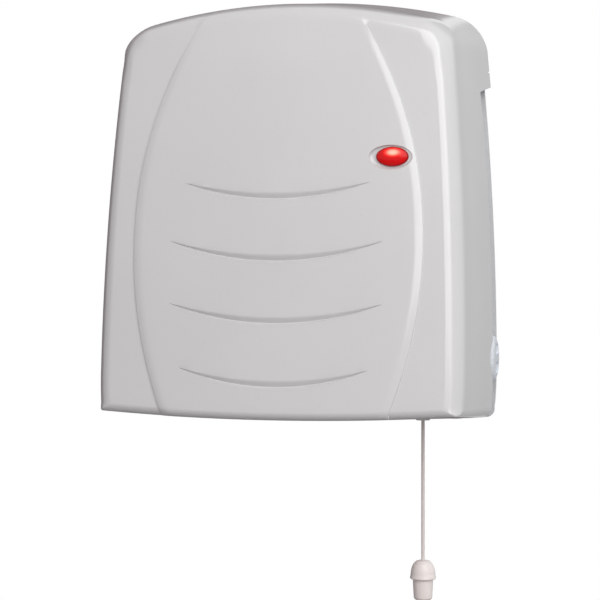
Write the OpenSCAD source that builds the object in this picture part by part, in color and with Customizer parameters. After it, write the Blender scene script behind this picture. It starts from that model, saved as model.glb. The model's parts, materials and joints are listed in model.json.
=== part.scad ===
// Bathroom wall fan heater with pull cord, side thermostat knob and underside outlet.
// Frame: the wall is the plane y = 0, the front faces -Y, +X is the viewer's right, +Z is up.
// Origin: centre of the four wall screws, on the wall. Millimetres.

/* [View] */
// Which piece to draw

/* [Cover size] */
// Half width at the widest level of the rear rim
body_half = 130; // [110:0.5:160]
// Height of the rear rim at the centre, above the lower reference line
body_h = 273; // [230:1:330]
// Depth from the wall to the front at the lower edge
body_d = 122.5; // [100:0.5:150]
// Thickness of the cover's wall
cover_wall = 2.6; // [2:0.1:4]
// Level of the widest point above the lower reference line
wide_z = 24; // [5:1:60]
// How far each side draws in by the top
side_taper = 14.3; // [0:0.1:30]
// Drop of the top rim from the centre to the sides
top_arch = 17.3; // [0:0.1:30]
// Sag of the lower edge at the centre
bottom_arch = 3.9; // [0:0.1:10]
// How far the front leans back by the top
front_lean = 25; // [0:0.5:40]
// How far the front curves back at the sides
front_bulge = 5.5; // [0:0.1:20]
// How far the underside drops from front to wall
under_drop = 9.6; // [0:0.1:15]

/* [Cover edges] */
// Radius of the upper corners seen from the front
corner_top = 22; // [10:0.5:40]
// Radius of the lower corners seen from the front
corner_bottom = 7; // [4:0.5:30]
// Rounding of the upright front edges, across
edge_side_in = 11; // [4:0.5:25]
// Rounding of the upright front edges, in depth
edge_side_deep = 18; // [4:0.5:40]
// Rounding of the top, downwards
edge_top_in = 11.5; // [4:0.5:25]
// Rounding of the top, in depth
edge_top_deep = 45; // [10:0.5:60]
// Rounding of the lower front edge
edge_low = 5.2; // [3:0.1:12]
// Draft of the walls, inwards per millimetre of depth
draft = 0.092; // [0:0.001:0.15]

/* [Shield and grooves] */
// Half width of the raised shield at its widest
shield_half = 94.6; // [60:0.1:110]
// Level of the shield's widest point
shield_z = 107; // [60:1:160]
// How much narrower the shield is at the lower edge
shield_low_in = 20.5; // [0:0.5:40]
// How much narrower the shield is at the top
shield_high_in = 54.3; // [0:0.5:80]
// Height of the shield above the side parts
shield_rise = 2; // [0.5:0.1:4]
// Height of the small step in which the shield's edge ends
shield_step = 0.9; // [0.3:0.1:2]
// Width of the shield's rolled edge
shield_edge = 6.5; // [2:0.5:12]
// Level of the tips of the lowest groove
groove_z = 28.4; // [10:0.1:60]
// Depth of a groove at its ledge
groove_deep = 2; // [0.5:0.1:2.4]

/* [Neon] */
// Lens centre inside the shield's right edge
neon_in = 15; // [14:0.1:60]
// Lens centre above the lower reference line
neon_z = 162.4; // [80:0.1:220]
// Lens width
lens_w = 22.1; // [12:0.1:40]
// Lens height
lens_h = 13.2; // [8:0.1:24]

/* [Wall fixing] */
// Wall screw spacing, across
screw_dx = 170; // [120:1:200]
// Wall screw spacing, upright
screw_dz = 160; // [120:1:200]
// Wall screw hole diameter
screw_hole = 5.4; // [4:0.1:7]
// Level of the screw pattern's centre above the lower reference line
mount_z = 130; // [110:1:150]
// Cable entry bore
cable_bore = 8; // [6:0.5:12]

/* [Fan] */
// Wheel diameter
wheel_d = 66; // [50:1:72]
// Room beside the wheel, to the cover's outside, for the motor and the controls
side_room = 73; // [65:1:90]
// Number of blades
blade_count = 28; // [16:1:36]
// Shaft diameter
shaft_d = 5; // [4:0.5:8]
// Rotor diameter
rotor_d = 26; // [20:0.5:34]

/* [Controls] */
// Knob diameter
knob_d = 30.6; // [20:0.2:32]
// Travel of the pull switch
pull_travel = 8; // [4:0.5:10]
// Cord diameter
cord_d = 2.3; // [1.5:0.1:4]
// Level of the bell below the lower reference line
cord_drop = 99.3; // [60:0.1:200]
// Width of the bell of the cord pull
bell_d = 17.2; // [12:0.1:24]

/* [Fits] */
// Running fit between shaft and bush, on the radius
fit_run = 0.04; // [0.01:0.01:0.1]
// Gap between parts that move past each other
fit_move = 0.4; // [0.3:0.05:1]
// Play of a screw in its clearance hole, on the radius
fit_screw = 0.2; // [0.1:0.05:0.5]
// Gap between the cord guide's collar and the cover's floor
fit_collar = 0.333; // [0.2:0.001:0.8]

/* [Hidden] */
$fn = 48;
STEEL = [0.78, 0.79, 0.80];
GALV = [0.70, 0.72, 0.73];
COVER = [0.80, 0.81, 0.82];
DARK = [0.16, 0.16, 0.17];
BRASS = [0.80, 0.66, 0.34];
MICA = [0.72, 0.64, 0.50];
CREAM = [0.93, 0.89, 0.86];
COPPER = [0.72, 0.42, 0.24];

shaft_r = shaft_d / 2;
wheel_r = wheel_d / 2;
wheel_len = 2 * (body_half - side_room);
sheet = 1.2;
plate_t = 2.4;
fan_y = -60;
fan_z = 106;
duct_x = wheel_len / 2 + 5;
duct_rear = -20;
duct_front = -78;
end_t = 2;
end_out = duct_x + end_t;
duct_floor = 4;
flange_in = 4.2;
tray_in = 8.6;
tray_wall = 2;
tray_deep = 30;
rim_back = 28;
gap_in = body_half - 20;
gap_top = body_h - 65;
slot_step = 10.6;
slot_h = 6;
SLOT_Z = [for (i = [0:13]) 58 + slot_step * i];
foot_x = end_out + 6;
foot_w = 12;
m4 = 2;
m3 = 1.5;
core_len = 18;
bridge_out = 15;
spacer_len = 11;
motor_x = -(end_out + spacer_len + bridge_out);
rotor_r = rotor_d / 2;
knob_y = -18.2;
knob_z = 31;
knob_in = body_half - 5.6;
knob_t = 4.2;
knob_gap = 0.6;
spindle_r = 3;
pull_x = body_half - 45;
pull_y = -55;
cord_r = cord_d / 2;
bell_h = 12.2;
plug_h = 14;
bell_top = -cord_drop;
bell_low = bell_top - bell_h;
plug_low = bell_low - plug_h;
cable_x = body_half - 35;
cable_z = 118;
grille_top = duct_floor;
grille_t = 2.5;
case_low = 12;
cord_top = case_low - 6;
case_top = case_low + 32;

// Ring and grid counts of the cover's skin
J = 13;
R = 20;
STAGES = [[0, 0], [0.5, 0], [1, 0], [1, 22.5], [1, 45], [1, 67.5], [1, 90]];
K = len(STAGES) - 1;
step_w = 0.3;
N = 4 * J + 2 * R;

module place() { translate([0, 0, -mount_z]) children(); }
module ycyl(x, z, y0, y1, r) { translate([x, y0, z]) rotate([90, 0, 0]) cylinder(h = y0 - y1, r = r); }
module xcyl(y, z, x0, x1, r) { translate([x0, y, z]) rotate([0, 90, 0]) cylinder(h = x1 - x0, r = r); }
module zcyl(x, y, z0, z1, r) { translate([x, y, z0]) cylinder(h = z1 - z0, r = r); }
module box(x0, x1, y0, y1, z0, z1) { translate([x0, y1, z0]) cube([x1 - x0, y0 - y1, z1 - z0]); }
module along_x(x0, x1) { translate([x0, 0, 0]) rotate([90, 0, 90]) linear_extrude(x1 - x0) children(); }
module along_y(y0, y1) { translate([0, y0, 0]) rotate([90, 0, 0]) linear_extrude(y0 - y1) children(); }
module oval(w, h, n = 48) {
  polygon([for (i = [0:n - 1]) let (a = 360 * i / n) [w / 2 * cos(a), h / 2 * sin(a)]]);
}

// ---- Shape of the cover ----
function clamp01(t) = min(max(t, 0), 1);
function smooth(t) = let (c = clamp01(t)) c * c * (3 - 2 * c);
function half_at(z) = body_half - side_taper * pow(max(z - wide_z, 0) / (body_h - wide_z), 2)
  - pow(max(wide_z - z, 0) / wide_z, 2);
function seam_at(z) = z < shield_z
  ? shield_half - shield_low_in * pow((shield_z - max(z, 0)) / shield_z, 2)
  : shield_half - shield_high_in * pow((z - shield_z) / (body_h - shield_z), 2.15);
// Height of the shield at a point inside its edge; it fades out below the top
function rise_at(x, z) = let (
    e = clamp01((seam_at(z) - abs(x)) / shield_edge),
    fade = 1 - smooth((z - 0.8 * body_h) / (0.15 * body_h))
  ) fade * (shield_step + (shield_rise - shield_step) * (1 - (1 - e) * (1 - e)));
function side_depth(x, z) = body_d - front_lean * z / body_h - front_bulge * pow(x / body_half, 2)
  - 2.5 * pow((z / body_h - 0.4) / 0.6, 2);
function depth_at(x, z) = side_depth(x, z) + rise_at(x, z);
function wall_in(rn, rd, g, f) = draft * (body_d - rd) * g + rn * (1 - cos(f));
// Level of the underside's outer face
function under_at(x, y) = -under_drop * (1 + y / body_d) - bottom_arch * (1 - pow(x / half_at(0), 2));
// Across position of upright line j, out to a with corner radius r
function col_x(j, z, a, r) = let (k = abs(j), s = seam_at(z), v = k <= 4 ? (s - shield_edge) * k / 4
    : k == 5 ? s - 0.45 * shield_edge
    : k == 6 ? s
    : k <= 9 ? s + step_w + (a - r - s - step_w) * (k - 7) / 2
    : a - r + r * sin(22.5 * (k - 9))
  ) (j < 0 ? -v : v);
function corner_turn(j) = abs(j) > 9 ? 22.5 * (abs(j) - 9) : 0;
// Point of the skin: line j, height fraction e, wall stage [g, f], inset t
function skin_pt(j, e, g, f, t) = let (
    rs = max(edge_side_in - t, 2),
    ds = max(edge_side_deep - t, 3),
    rt = max(edge_top_in - t, 2),
    dt = max(edge_top_deep - t, 3),
    rb = max(edge_low - t, 1.5),
    s_in = wall_in(rs, ds, g, f) + t,
    t_in = wall_in(rt, dt, g, f) + t,
    b_in = rb * (1 - cos(f)) + t - under_drop * (1 - ((body_d - rb) * g + rb * sin(f)) / body_d),
    ct = max(corner_top - 0.5 * s_in, 5),
    cb = max(corner_bottom - 0.3 * s_in, 3),
    arch = top_arch * pow(1 - s_in / (2 * body_half), 2),
    z_ts = body_h - t_in - arch - ct,
    z_bs = b_in + cb,
    zn0 = b_in - 0.6 * bottom_arch,
    zn1 = body_h - t_in - 0.12 * arch,
    at = half_at(z_ts) - s_in,
    ab = half_at(z_bs) - s_in,
    xt = col_x(j, zn1, at, ct),
    xb = col_x(j, zn0, ab, cb),
    turn = corner_turn(j),
    zt = body_h - t_in - arch * pow(xt / at, 2) - ct * (1 - cos(turn)),
    zb = b_in - bottom_arch * (1 - pow(xb / ab, 2)) + cb * (1 - cos(turn)),
    z = zb + e * (zt - zb),
    zside = z_bs + e * (z_ts - z_bs),
    x = col_x(j, zn0 + e * (zn1 - zn0), half_at(zside) - s_in, cb + e * (ct - cb)),
    d = (abs(j) <= 6 ? depth_at(x, z) : side_depth(x, z)) - t,
    d_s = (d - ds) * g + ds * sin(f),
    d_e = e > 0.5 ? (d - dt) * g + dt * sin(f) : (d - rb) * g + rb * sin(f),
    w = (e == 0 || e == 1) ? pow(cos(turn), 2) : 0
  ) [x, -(w * d_e + (1 - w) * d_s), z];
function ring_pts(g, f, t) = concat(
  [for (j = [-J:J]) skin_pt(j, 0, g, f, t)],
  [for (e = [1:R - 1]) skin_pt(J, e / R, g, f, t)],
  [for (j = [-J:J]) skin_pt(-j, 1, g, f, t)],
  [for (e = [1:R - 1]) skin_pt(-J, 1 - e / R, g, f, t)]);
function skin_pts(t) = concat(
  [for (s = STAGES) each ring_pts(s[0], s[1], t)],
  [for (j = [1 - J:J - 1], e = [1:R - 1]) skin_pt(j, e / R, 1, 90, t)]);
function grid_id(j, e) = e == 0 ? K * N + j + J
  : e == R ? K * N + 3 * J + R - j
  : j == J ? K * N + 2 * J + e
  : j == -J ? K * N + 4 * J + 2 * R - e
  : (K + 1) * N + (j + J - 1) * (R - 1) + e - 1;
function quad(a, b, c, d, flip) = flip ? [[a, b, c], [a, c, d]] : [[a, c, b], [a, d, c]];
function skin_faces(o, flip) = concat(
  [for (k = [0:K - 1], i = [0:N - 1]) let (n = (i + 1) % N)
    each quad(o + k * N + i, o + k * N + n, o + (k + 1) * N + n, o + (k + 1) * N + i, flip)],
  [for (j = [-J:J - 1], e = [0:R - 1])
    each quad(o + grid_id(j, e), o + grid_id(j + 1, e),
      o + grid_id(j + 1, e + 1), o + grid_id(j, e + 1), flip)]);
SKIN = (K + 1) * N + (2 * J - 1) * (R - 1);
module cover_shell() {
  polyhedron(
    points = concat(skin_pts(0), skin_pts(cover_wall)),
    faces = concat(skin_faces(0, false), skin_faces(SKIN, true),
      [for (i = [0:N - 1]) let (n = (i + 1) % N) each quad(i, n, SKIN + n, SKIN + i, true)]));
}
// Outline of the rear rim, drawn in by t
function rim_line(t) = [for (p = ring_pts(0, 0, t)) [p[0], p[2]]];

// ---- Grooves: tip level above the first, half length, sag of the upper arc ----
GROOVES = [[0, 62, 7], [41.2, 70, 8], [80.8, 70, 8], [118.2, 61, 5.8]];
groove_fat = 5;
GROOVE_STEPS = 20;
function arc_z(x, l, s) = let (r = (l * l + s * s) / (2 * s)) r - s - sqrt(r * r - x * x);
module groove_cut(g) {
  zt = groove_z + g[0];
  l = g[1];
  function rib(x) = let (
      zu = zt + arc_z(x, l, g[2]),
      zl = zt + arc_z(x, l, g[2] + groove_fat),
      fat = max(zu - zl, 0.05),
      yu = -depth_at(x, zu),
      yl = -depth_at(x, zu - fat),
      deep = groove_deep * sqrt(fat / groove_fat)
    ) [[x, yu - 3, zu], [x, yu + 0.05, zu], [x, yl + deep, zu - fat], [x, yl - 3, zu - fat]];
  pts = [for (i = [0:GROOVE_STEPS]) each rib(l * 0.985 * sin(-90 + 180 * i / GROOVE_STEPS))];
  polyhedron(points = pts, faces = concat(
    [[0, 1, 2, 3], [for (q = [3:-1:0]) 4 * GROOVE_STEPS + q]],
    [for (i = [0:GROOVE_STEPS - 1], q = [0:3]) let (a = 4 * i + q, b = 4 * i + (q + 1) % 4)
      each [[a, a + 4, b + 4], [a, b + 4, b]]]));
}

module front_cover() {
  color(COVER) place() difference() {
    union() {
      cover_shell();
      for (s = [-1, 1]) zcyl(s * cover_screw_x, cover_screw_y, cover_seat - 1, boss_top, 6);
      // Hooks that drop into the top of the back plate
      for (x = HOOK_X)
        box(x - hook_w / 2, x + hook_w / 2, hook_y, hook_y - hook_t, hook_low, hook_high);
    }
    for (g = GROOVES) groove_cut(g);
    // Dish and hole for the neon lens
    along_y(-dish_y, -140) translate([neon_x - 0.4, neon_z]) oval(dish_w, dish_h);
    along_y(-80, -140) translate([neon_x, neon_z]) oval(lens_w - 2, lens_h - 2);
    // Outlet
    box(-outlet_x, outlet_x, outlet_rear, outlet_front, -20, 3);
    // Air inlets: the rim of both sides stands off the wall, down to the underside
    for (x = [gap_in, -body_half - 10]) along_x(x, x + body_half + 10 - gap_in)
      polygon([[1, -20], [-rim_back, -20], [-rim_back, gap_top],
        [-rim_back + 4, gap_top + 2], [1, gap_top + 5]]);
    // Notch round the knob
    xcyl(knob_y, knob_z, gap_in, body_half + 10, knob_d / 2 + knob_gap);
    // Slit above the tab at the top of the right inlet
    box(gap_in, body_half + 10, 1, -3, gap_top + 14.6, gap_top + 15.8);
    // Pull cord guide
    zcyl(pull_x, pull_y, -20, 0, guide_r + fit_screw);
    // Fixing screws from below
    for (s = [-1, 1]) {
      zcyl(s * cover_screw_x, cover_screw_y, -20, cover_seat, 4.2);
      zcyl(s * cover_screw_x, cover_screw_y, -20, boss_top + 1, m4 + fit_screw);
    }
  }
}
neon_x = seam_at(neon_z) - neon_in;
cover_screw_x = body_half - 30;
cover_screw_y = -12;
cover_seat = -8.2;
boss_top = -5.2;
dish_w = 29.6;
dish_h = 17;
dish_y = depth_at(neon_x, neon_z) - 1.7;
hook_x = 0.46 * body_half;
HOOK_X = [-hook_x, hook_x];
hook_w = 12;
hook_t = 3;
hook_y = -14;
hook_low = body_h - 21;
hook_high = body_h - top_arch * pow(hook_x / half_at(body_h), 2) - cover_wall / 2 - 1.2;
outlet_x = end_out;
outlet_rear = duct_rear + 3;
outlet_front = duct_front - 3;
guide_r = 4.6;
guide_flange = guide_r + 2.6;
guide_seat = under_at(pull_x + guide_flange, pull_y - guide_flange) + cover_wall + fit_collar;
guide_low = guide_seat - cover_wall - 1.5;

// ---- Back plate, a shallow tray ----
module back_plate() {
  color(COVER) place() difference() {
    union() {
      along_y(0, -plate_t) {
        polygon(rim_line(flange_in));
        // Square lower corners, seen through the cut-back rim
        for (s = [-1, 1]) polygon([for (p = EAR) [s * p[0], p[1]]]);
      }
      difference() {
        along_y(-1, -tray_deep) polygon(rim_line(tray_in));
        along_y(-plate_t, -tray_deep - 1) polygon(rim_line(tray_in + tray_wall));
      }
      for (x = [-1, 1], z = [-1, 1])
        ycyl(x * screw_dx / 2, mount_z + z * screw_dz / 2, -1, -plate_t - 1.6, 8);
      for (x = [-cover_screw_x, cover_screw_x]) box(x - 7, x + 7, -1, -22, boss_top, boss_top + 3.4);
      for (s = [-1, 1]) ycyl(cable_x + s * clamp_dx, clamp_z, -1, clamp_base, 4);
    }
    for (x = [-1, 1], z = [-1, 1])
      ycyl(x * screw_dx / 2, mount_z + z * screw_dz / 2, 1, -6, screw_hole / 2);
    ycyl(cable_x, cable_z, 1, -5, grommet_r + 0.05);
    // Air slots in both side walls
    for (x = [body_half - 30, -body_half - 5], z = SLOT_Z)
      box(x, x + 35, -8, 1 - rim_back, z, z + slot_h);
    // Slots for the cover's hooks
    for (x = HOOK_X) box(x - hook_w / 2 - fit_move, x + hook_w / 2 + fit_move,
      hook_y + fit_move, hook_y - hook_t - 3, hook_low - 2, hook_high - 3);
    // The outlet passes through the lower wall
    box(-outlet_x - 3, outlet_x + 3, -plate_t - 2, -tray_deep - 1, -20, 6);
    xcyl(knob_y, knob_z, body_half - 20, body_half - 2, nut_r + 1);
    for (s = [-1, 1]) zcyl(s * cover_screw_x, cover_screw_y, -10, 2, m4 + 0.02);
    for (s = [-1, 1], z = HOUSING_Z) ycyl(s * foot_x, z, 1, -5, m4 + 0.02);
    for (z = BRACKET_Z) ycyl(bracket_screw_x, z, 1, -5, m4 + 0.02);
    for (s = [-1, 1]) ycyl(cable_x + s * clamp_dx, clamp_z, 1, -12, m3 + 0.02);
    ycyl(earth_x, earth_z, 1, -5, m4 + 0.02);
    for (x = BLOCK_X) ycyl(x, block_z, 1, -5, m3 + 0.02);
  }
}
ear_in = gap_in + fit_move;
ear_out = body_half - 5.6;
ear_low = -under_drop - 0.1;
ear_high = 14;
ear_r = 5.5;
EAR = concat([[ear_in, ear_high], [ear_in, ear_low]],
  [for (a = [-90:15:0]) [ear_out - ear_r + ear_r * cos(a), ear_low + ear_r + ear_r * sin(a)]],
  [[ear_out, ear_high]]);
HOUSING_Z = [36, 124];
bracket_x = body_half - 13;
bracket_t = 1.5;
bracket_low = 10;
BRACKET_Z = [bracket_low + 6, 54];
bracket_screw_x = bracket_x - 10;
clamp_dx = 11;
clamp_z = 140;
clamp_base = -8;
grommet_r = 9;
earth_x = body_half - 22;
earth_z = 96;
block_z = 174;
block_x0 = body_half - 58;
block_w = 40;
barrel_w = 5.6;
barrel_step = 6.6;
BLOCK_X = [block_x0 + 4, block_x0 + block_w - 4];
BLOCK_IN = block_x0 + (block_w - 3 * barrel_step - barrel_w) / 2;

// ---- Neon ----
module neon_lens() {
  color([0.86, 0.12, 0.10]) place() translate([neon_x, 0, neon_z]) {
    along_y(-dish_y + 5, -dish_y - 0.6) oval(lens_w - 2.6, lens_h - 2.6);
    along_y(-dish_y, -dish_y - 1.6) oval(lens_w, lens_h);
    for (q = [[1.6, 0.94, 0.8], [2.4, 0.82, 0.7], [3.1, 0.62, 0.5]])
      along_y(-dish_y - q[0] + 0.01, -dish_y - q[0] - q[2]) oval(lens_w * q[1], lens_h * q[1]);
  }
}
module neon_holder() {
  color(DARK) place() translate([neon_x, 0, neon_z]) difference() {
    union() {
      along_y(holder_face, holder_face - 2) oval(lens_w + 4, lens_h + 4);
      // The tube starts inside the bezel and closes round the lens's shank
      along_y(holder_face + 14, holder_face - 1) oval(lens_w - 1, lens_h - 1);
    }
    along_y(holder_face + 12, holder_face - 3) oval(lens_w - 7, lens_h - 4);
    along_y(-dish_y + 5, holder_face - 3) oval(lens_w - 2.6, lens_h - 2.6);
    for (s = [-1, 1]) ycyl(s * 1.3, 0, holder_face + 15, holder_face + 11, 0.45);
  }
}
holder_face = -dish_y + 4.5;
module neon_lamp() {
  color([0.95, 0.55, 0.30]) place() translate([neon_x, holder_face + 12, neon_z]) rotate([90, 0, 0]) {
    cylinder(h = 8, r = 3);
    translate([0, 0, 8]) sphere(r = 3);
    for (s = [-1, 1]) translate([s * 1.3, 0, -5]) cylinder(h = 5.5, r = 0.4);
  }
}

// ---- Outlet grille ----
grille_x = foot_x + foot_w / 2 + 1;
slat_x = duct_x - 4;
grille_rear = duct_rear + 4;
grille_front = duct_front - 4;
SLATS = 8;
module outlet_grille() {
  color([0.74, 0.75, 0.77]) place() {
    difference() {
      box(-grille_x, grille_x, grille_rear, grille_front, grille_top - grille_t, grille_top);
      box(-slat_x, slat_x, duct_rear - 2, duct_front + 2, 0, 9);
      for (s = [-1, 1], y = GRILLE_Y) zcyl(s * foot_x, y, 0, 9, m3 + fit_screw);
    }
    difference() {
      box(-slat_x - 2, slat_x + 2, duct_rear, duct_front, -6, grille_top - 1);
      box(-slat_x, slat_x, duct_rear - 2, duct_front + 2, -9, 9);
    }
    for (i = [0:SLATS - 1]) let (y = duct_rear - 6 - i * 6.6)
      along_x(-slat_x - 0.5, slat_x + 0.5)
        polygon([[y, grille_top - 0.5], [y - 1.5, grille_top - 0.5], [y - 4.5, -6], [y - 3, -6]]);
    for (x = [-slat_x / 2, 0, slat_x / 2])
      box(x - 0.8, x + 0.8, duct_rear - 1.5, duct_front + 1.5, -4, 1);
  }
}
GRILLE_Y = [-32, -66];

// ---- Air housing ----
function polar(r, a) = [fan_y + r * cos(a), fan_z + r * sin(a)];
module scroll_sheet() {
  inner = [for (a = [70:-8:-18]) polar(wheel_r + 3.5 + 4.4 * (70 - a) / 88, a)];
  outer = [for (a = [-18:8:70]) polar(wheel_r + 3.5 + 4.4 * (70 - a) / 88 + sheet, a)];
  color(GALV) place() along_x(-duct_x, duct_x)
    polygon(concat([[duct_rear, duct_floor], [duct_rear, 84]],
      [for (i = [len(inner) - 1:-1:0]) inner[i]], [for (i = [len(outer) - 1:-1:0]) outer[i]],
      [[duct_rear + sheet, 84], [duct_rear + sheet, duct_floor]]));
}
module tongue_sheet() {
  edge = [for (a = [240:-6:204]) polar(wheel_r + 2.5 + 3.5 * (240 - a) / 36, a)];
  back = [for (a = [204:6:240]) polar(wheel_r + 2.5 + 3.5 * (240 - a) / 36 + sheet, a)];
  color(GALV) place() along_x(-duct_x, duct_x)
    polygon(concat([[duct_front, duct_floor]], edge, back,
      [[duct_front - sheet, 72], [duct_front - sheet, duct_floor]]));
}
module end_plate(hole) {
  difference() {
    union() {
      along_x(duct_x, end_out) polygon([[-plate_t, 20], [duct_rear + 2, 20], [duct_rear + 2, duct_floor],
        [duct_front - 6, duct_floor], [duct_front - 6, 60],
        [fan_y - wheel_r - 6, fan_z - 30], [fan_y - wheel_r - 9, fan_z + 14],
        [fan_y - wheel_r + 5, fan_z + wheel_r + 3],
        [fan_y + 10, fan_z + wheel_r + 11], [duct_rear, fan_z + wheel_r + 7],
        [-plate_t, fan_z + wheel_r + 1]]);
      for (z = HOUSING_Z)
        box(duct_x, foot_x + foot_w / 2, -plate_t, -plate_t - end_t, z - 9, z + 9);
      box(duct_x, foot_x + foot_w / 2, -24, -74, duct_floor, duct_floor + end_t);
    }
    xcyl(fan_y, fan_z, duct_x - 10, end_out + 10, hole);
    for (z = HOUSING_Z) ycyl(foot_x, z, 1, -9, m4 + fit_screw);
    for (y = GRILLE_Y) zcyl(foot_x, y, 0, 9, m3 + 0.02);
    children();
  }
}
module end_plate_left() {
  color(GALV) place() mirror([1, 0, 0]) end_plate(8)
    for (s = [-1, 1]) xcyl(fan_y + s * bolt_dy, fan_z, duct_x - 10, end_out + 10, m3 + 0.02);
}
module end_plate_right() {
  color(GALV) place() end_plate(bush_r + 0.02)
    for (y = SWITCH_Y) xcyl(y, bracket_hole_z, duct_x - 10, end_out + 10, m3 + 0.02);
}
SWITCH_Y = [pull_y + 7, pull_y - 7];
bracket_hole_z = case_top + 10;
bush_r = 6;
bolt_dy = 23.5;
shield_x = duct_x - 4;
shield_y = -9;
module heat_shield() {
  color([0.86, 0.87, 0.88]) place() {
    box(-shield_x, shield_x, shield_y, shield_y - 0.8, 10, fan_z + 22);
    for (x = [14 - shield_x, shield_x - 14], z = [22, fan_z + 10])
      ycyl(x, z, -plate_t, shield_y - 0.4, 4);
  }
}

// ---- Fan ----
function blade_edge(a0, side) = [for (i = [0:4]) let (r = wheel_r - 7.5 + 7 * i / 4,
    a = a0 + 20 * pow(i / 4, 1.6) + side * 0.45 / r * 57.3) [r * cos(a), r * sin(a)]];
module fan_wheel() {
  color([0.42, 0.44, 0.46]) place() translate([0, fan_y, fan_z]) rotate([0, 90, 0])
    translate([0, 0, -wheel_len / 2]) {
      difference() {
        union() {
          cylinder(h = 1.6, r = wheel_r);
          translate([0, 0, -3]) cylinder(h = 12, r = 7);
        }
        translate([0, 0, -4]) cylinder(h = 16, r = shaft_r);
      }
      difference() {
        union() {
          translate([0, 0, wheel_len - 1.6]) cylinder(h = 1.6, r = wheel_r);
          translate([0, 0, wheel_len - 9]) cylinder(h = 11, r = 7);
        }
        translate([0, 0, wheel_len - 12]) cylinder(h = 16, r = shaft_r);
      }
      translate([0, 0, wheel_len / 2 - 0.8]) difference() {
        cylinder(h = 1.6, r = wheel_r);
        translate([0, 0, -1]) cylinder(h = 4, r = wheel_r - 8.5);
      }
      for (k = [0:blade_count - 1]) let (a = 360 * k / blade_count)
        translate([0, 0, 1]) linear_extrude(wheel_len - 2)
          polygon(concat(blade_edge(a, -1), [for (i = [4:-1:0]) blade_edge(a, 1)[i]]));
    }
}
module fan_shaft() {
  color(STEEL) place() xcyl(fan_y, fan_z, motor_x - bridge_out - 7, end_out + 12, shaft_r);
}
module end_bearing() {
  color(BRASS) place() difference() {
    union() {
      xcyl(fan_y, fan_z, duct_x - 0.5, end_out + 9, bush_r);
      xcyl(fan_y, fan_z, end_out, end_out + 2, 10);
    }
    xcyl(fan_y, fan_z, duct_x - 10, end_out + 20, shaft_r + fit_run);
  }
}
module motor_rotor() {
  color([0.55, 0.56, 0.58]) place() difference() {
    union() {
      xcyl(fan_y, fan_z, motor_x - core_len / 2, motor_x + core_len / 2, rotor_r);
      xcyl(fan_y, fan_z, motor_x - core_len / 2 - 1.5, motor_x + core_len / 2 + 1.5, rotor_r - 2);
    }
    xcyl(fan_y, fan_z, motor_x - 30, motor_x + 30, shaft_r);
  }
}
core_z = -39;
core_bar = 10;
module motor_stator() {
  color([0.50, 0.51, 0.53]) place() difference() {
    along_x(motor_x - core_len / 2, motor_x + core_len / 2) translate([fan_y, fan_z]) difference() {
      polygon([[-28, 24], [28, 24], [28, core_z - core_bar / 2], [-28, core_z - core_bar / 2]]);
      circle(r = rotor_r + fit_move);
      translate([-13, core_z + core_bar / 2]) square([26, 12]);
    }
    for (s = [-1, 1]) xcyl(fan_y + s * bolt_dy, fan_z, motor_x - 30, motor_x + 30, m3 + fit_screw);
  }
}
module motor_coil() {
  color(COPPER) place() translate([motor_x, fan_y, fan_z + core_z]) difference() {
    union() {
      translate([-14.5, -10.5, -11]) cube([29, 21, 22]);
      for (s = [-1, 1]) translate([-15.5, s * 11.6 - 1, -11.8]) cube([31, 2, 23.4]);
    }
    translate([-core_len / 2 - 0.05, -20, -core_bar / 2 - 0.05])
      cube([core_len + 0.1, 40, core_bar + 0.1]);
  }
}
module motor_bridge() {
  difference() {
    union() {
      box(bridge_out - 2, bridge_out, fan_y + 27.5, fan_y - 27.5, fan_z - 8, fan_z + 8);
      for (s = [-1, 1]) let (y = fan_y + s * bolt_dy)
        box(core_len / 2, bridge_out, y + 4, y - 4, fan_z - 8, fan_z + 8);
      xcyl(fan_y, fan_z, bridge_out - 3, bridge_out + 5, 7);
    }
    xcyl(fan_y, fan_z, 5, 30, shaft_r + fit_run);
    for (s = [-1, 1]) xcyl(fan_y + s * bolt_dy, fan_z, 0, 30, m3 + fit_screw);
  }
}
module motor_bridge_front() { color(BRASS) place() translate([motor_x, 0, 0]) motor_bridge(); }
module motor_bridge_rear() {
  color(BRASS) place() translate([motor_x, 0, 0]) mirror([1, 0, 0]) motor_bridge();
}
module motor_screws() {
  color(STEEL) place() for (s = [-1, 1]) {
    xcyl(fan_y + s * bolt_dy, fan_z, motor_x - bridge_out - 2, 1 - duct_x, m3);
    xcyl(fan_y + s * bolt_dy, fan_z, motor_x - bridge_out - 2.2, motor_x - bridge_out, 2.9);
  }
}
module motor_spacers() {
  color(STEEL) place() for (s = [-1, 1]) difference() {
    xcyl(fan_y + s * bolt_dy, fan_z, motor_x + bridge_out, -end_out, 3.6);
    xcyl(fan_y + s * bolt_dy, fan_z, motor_x, 0, m3 + fit_screw);
  }
}

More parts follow.
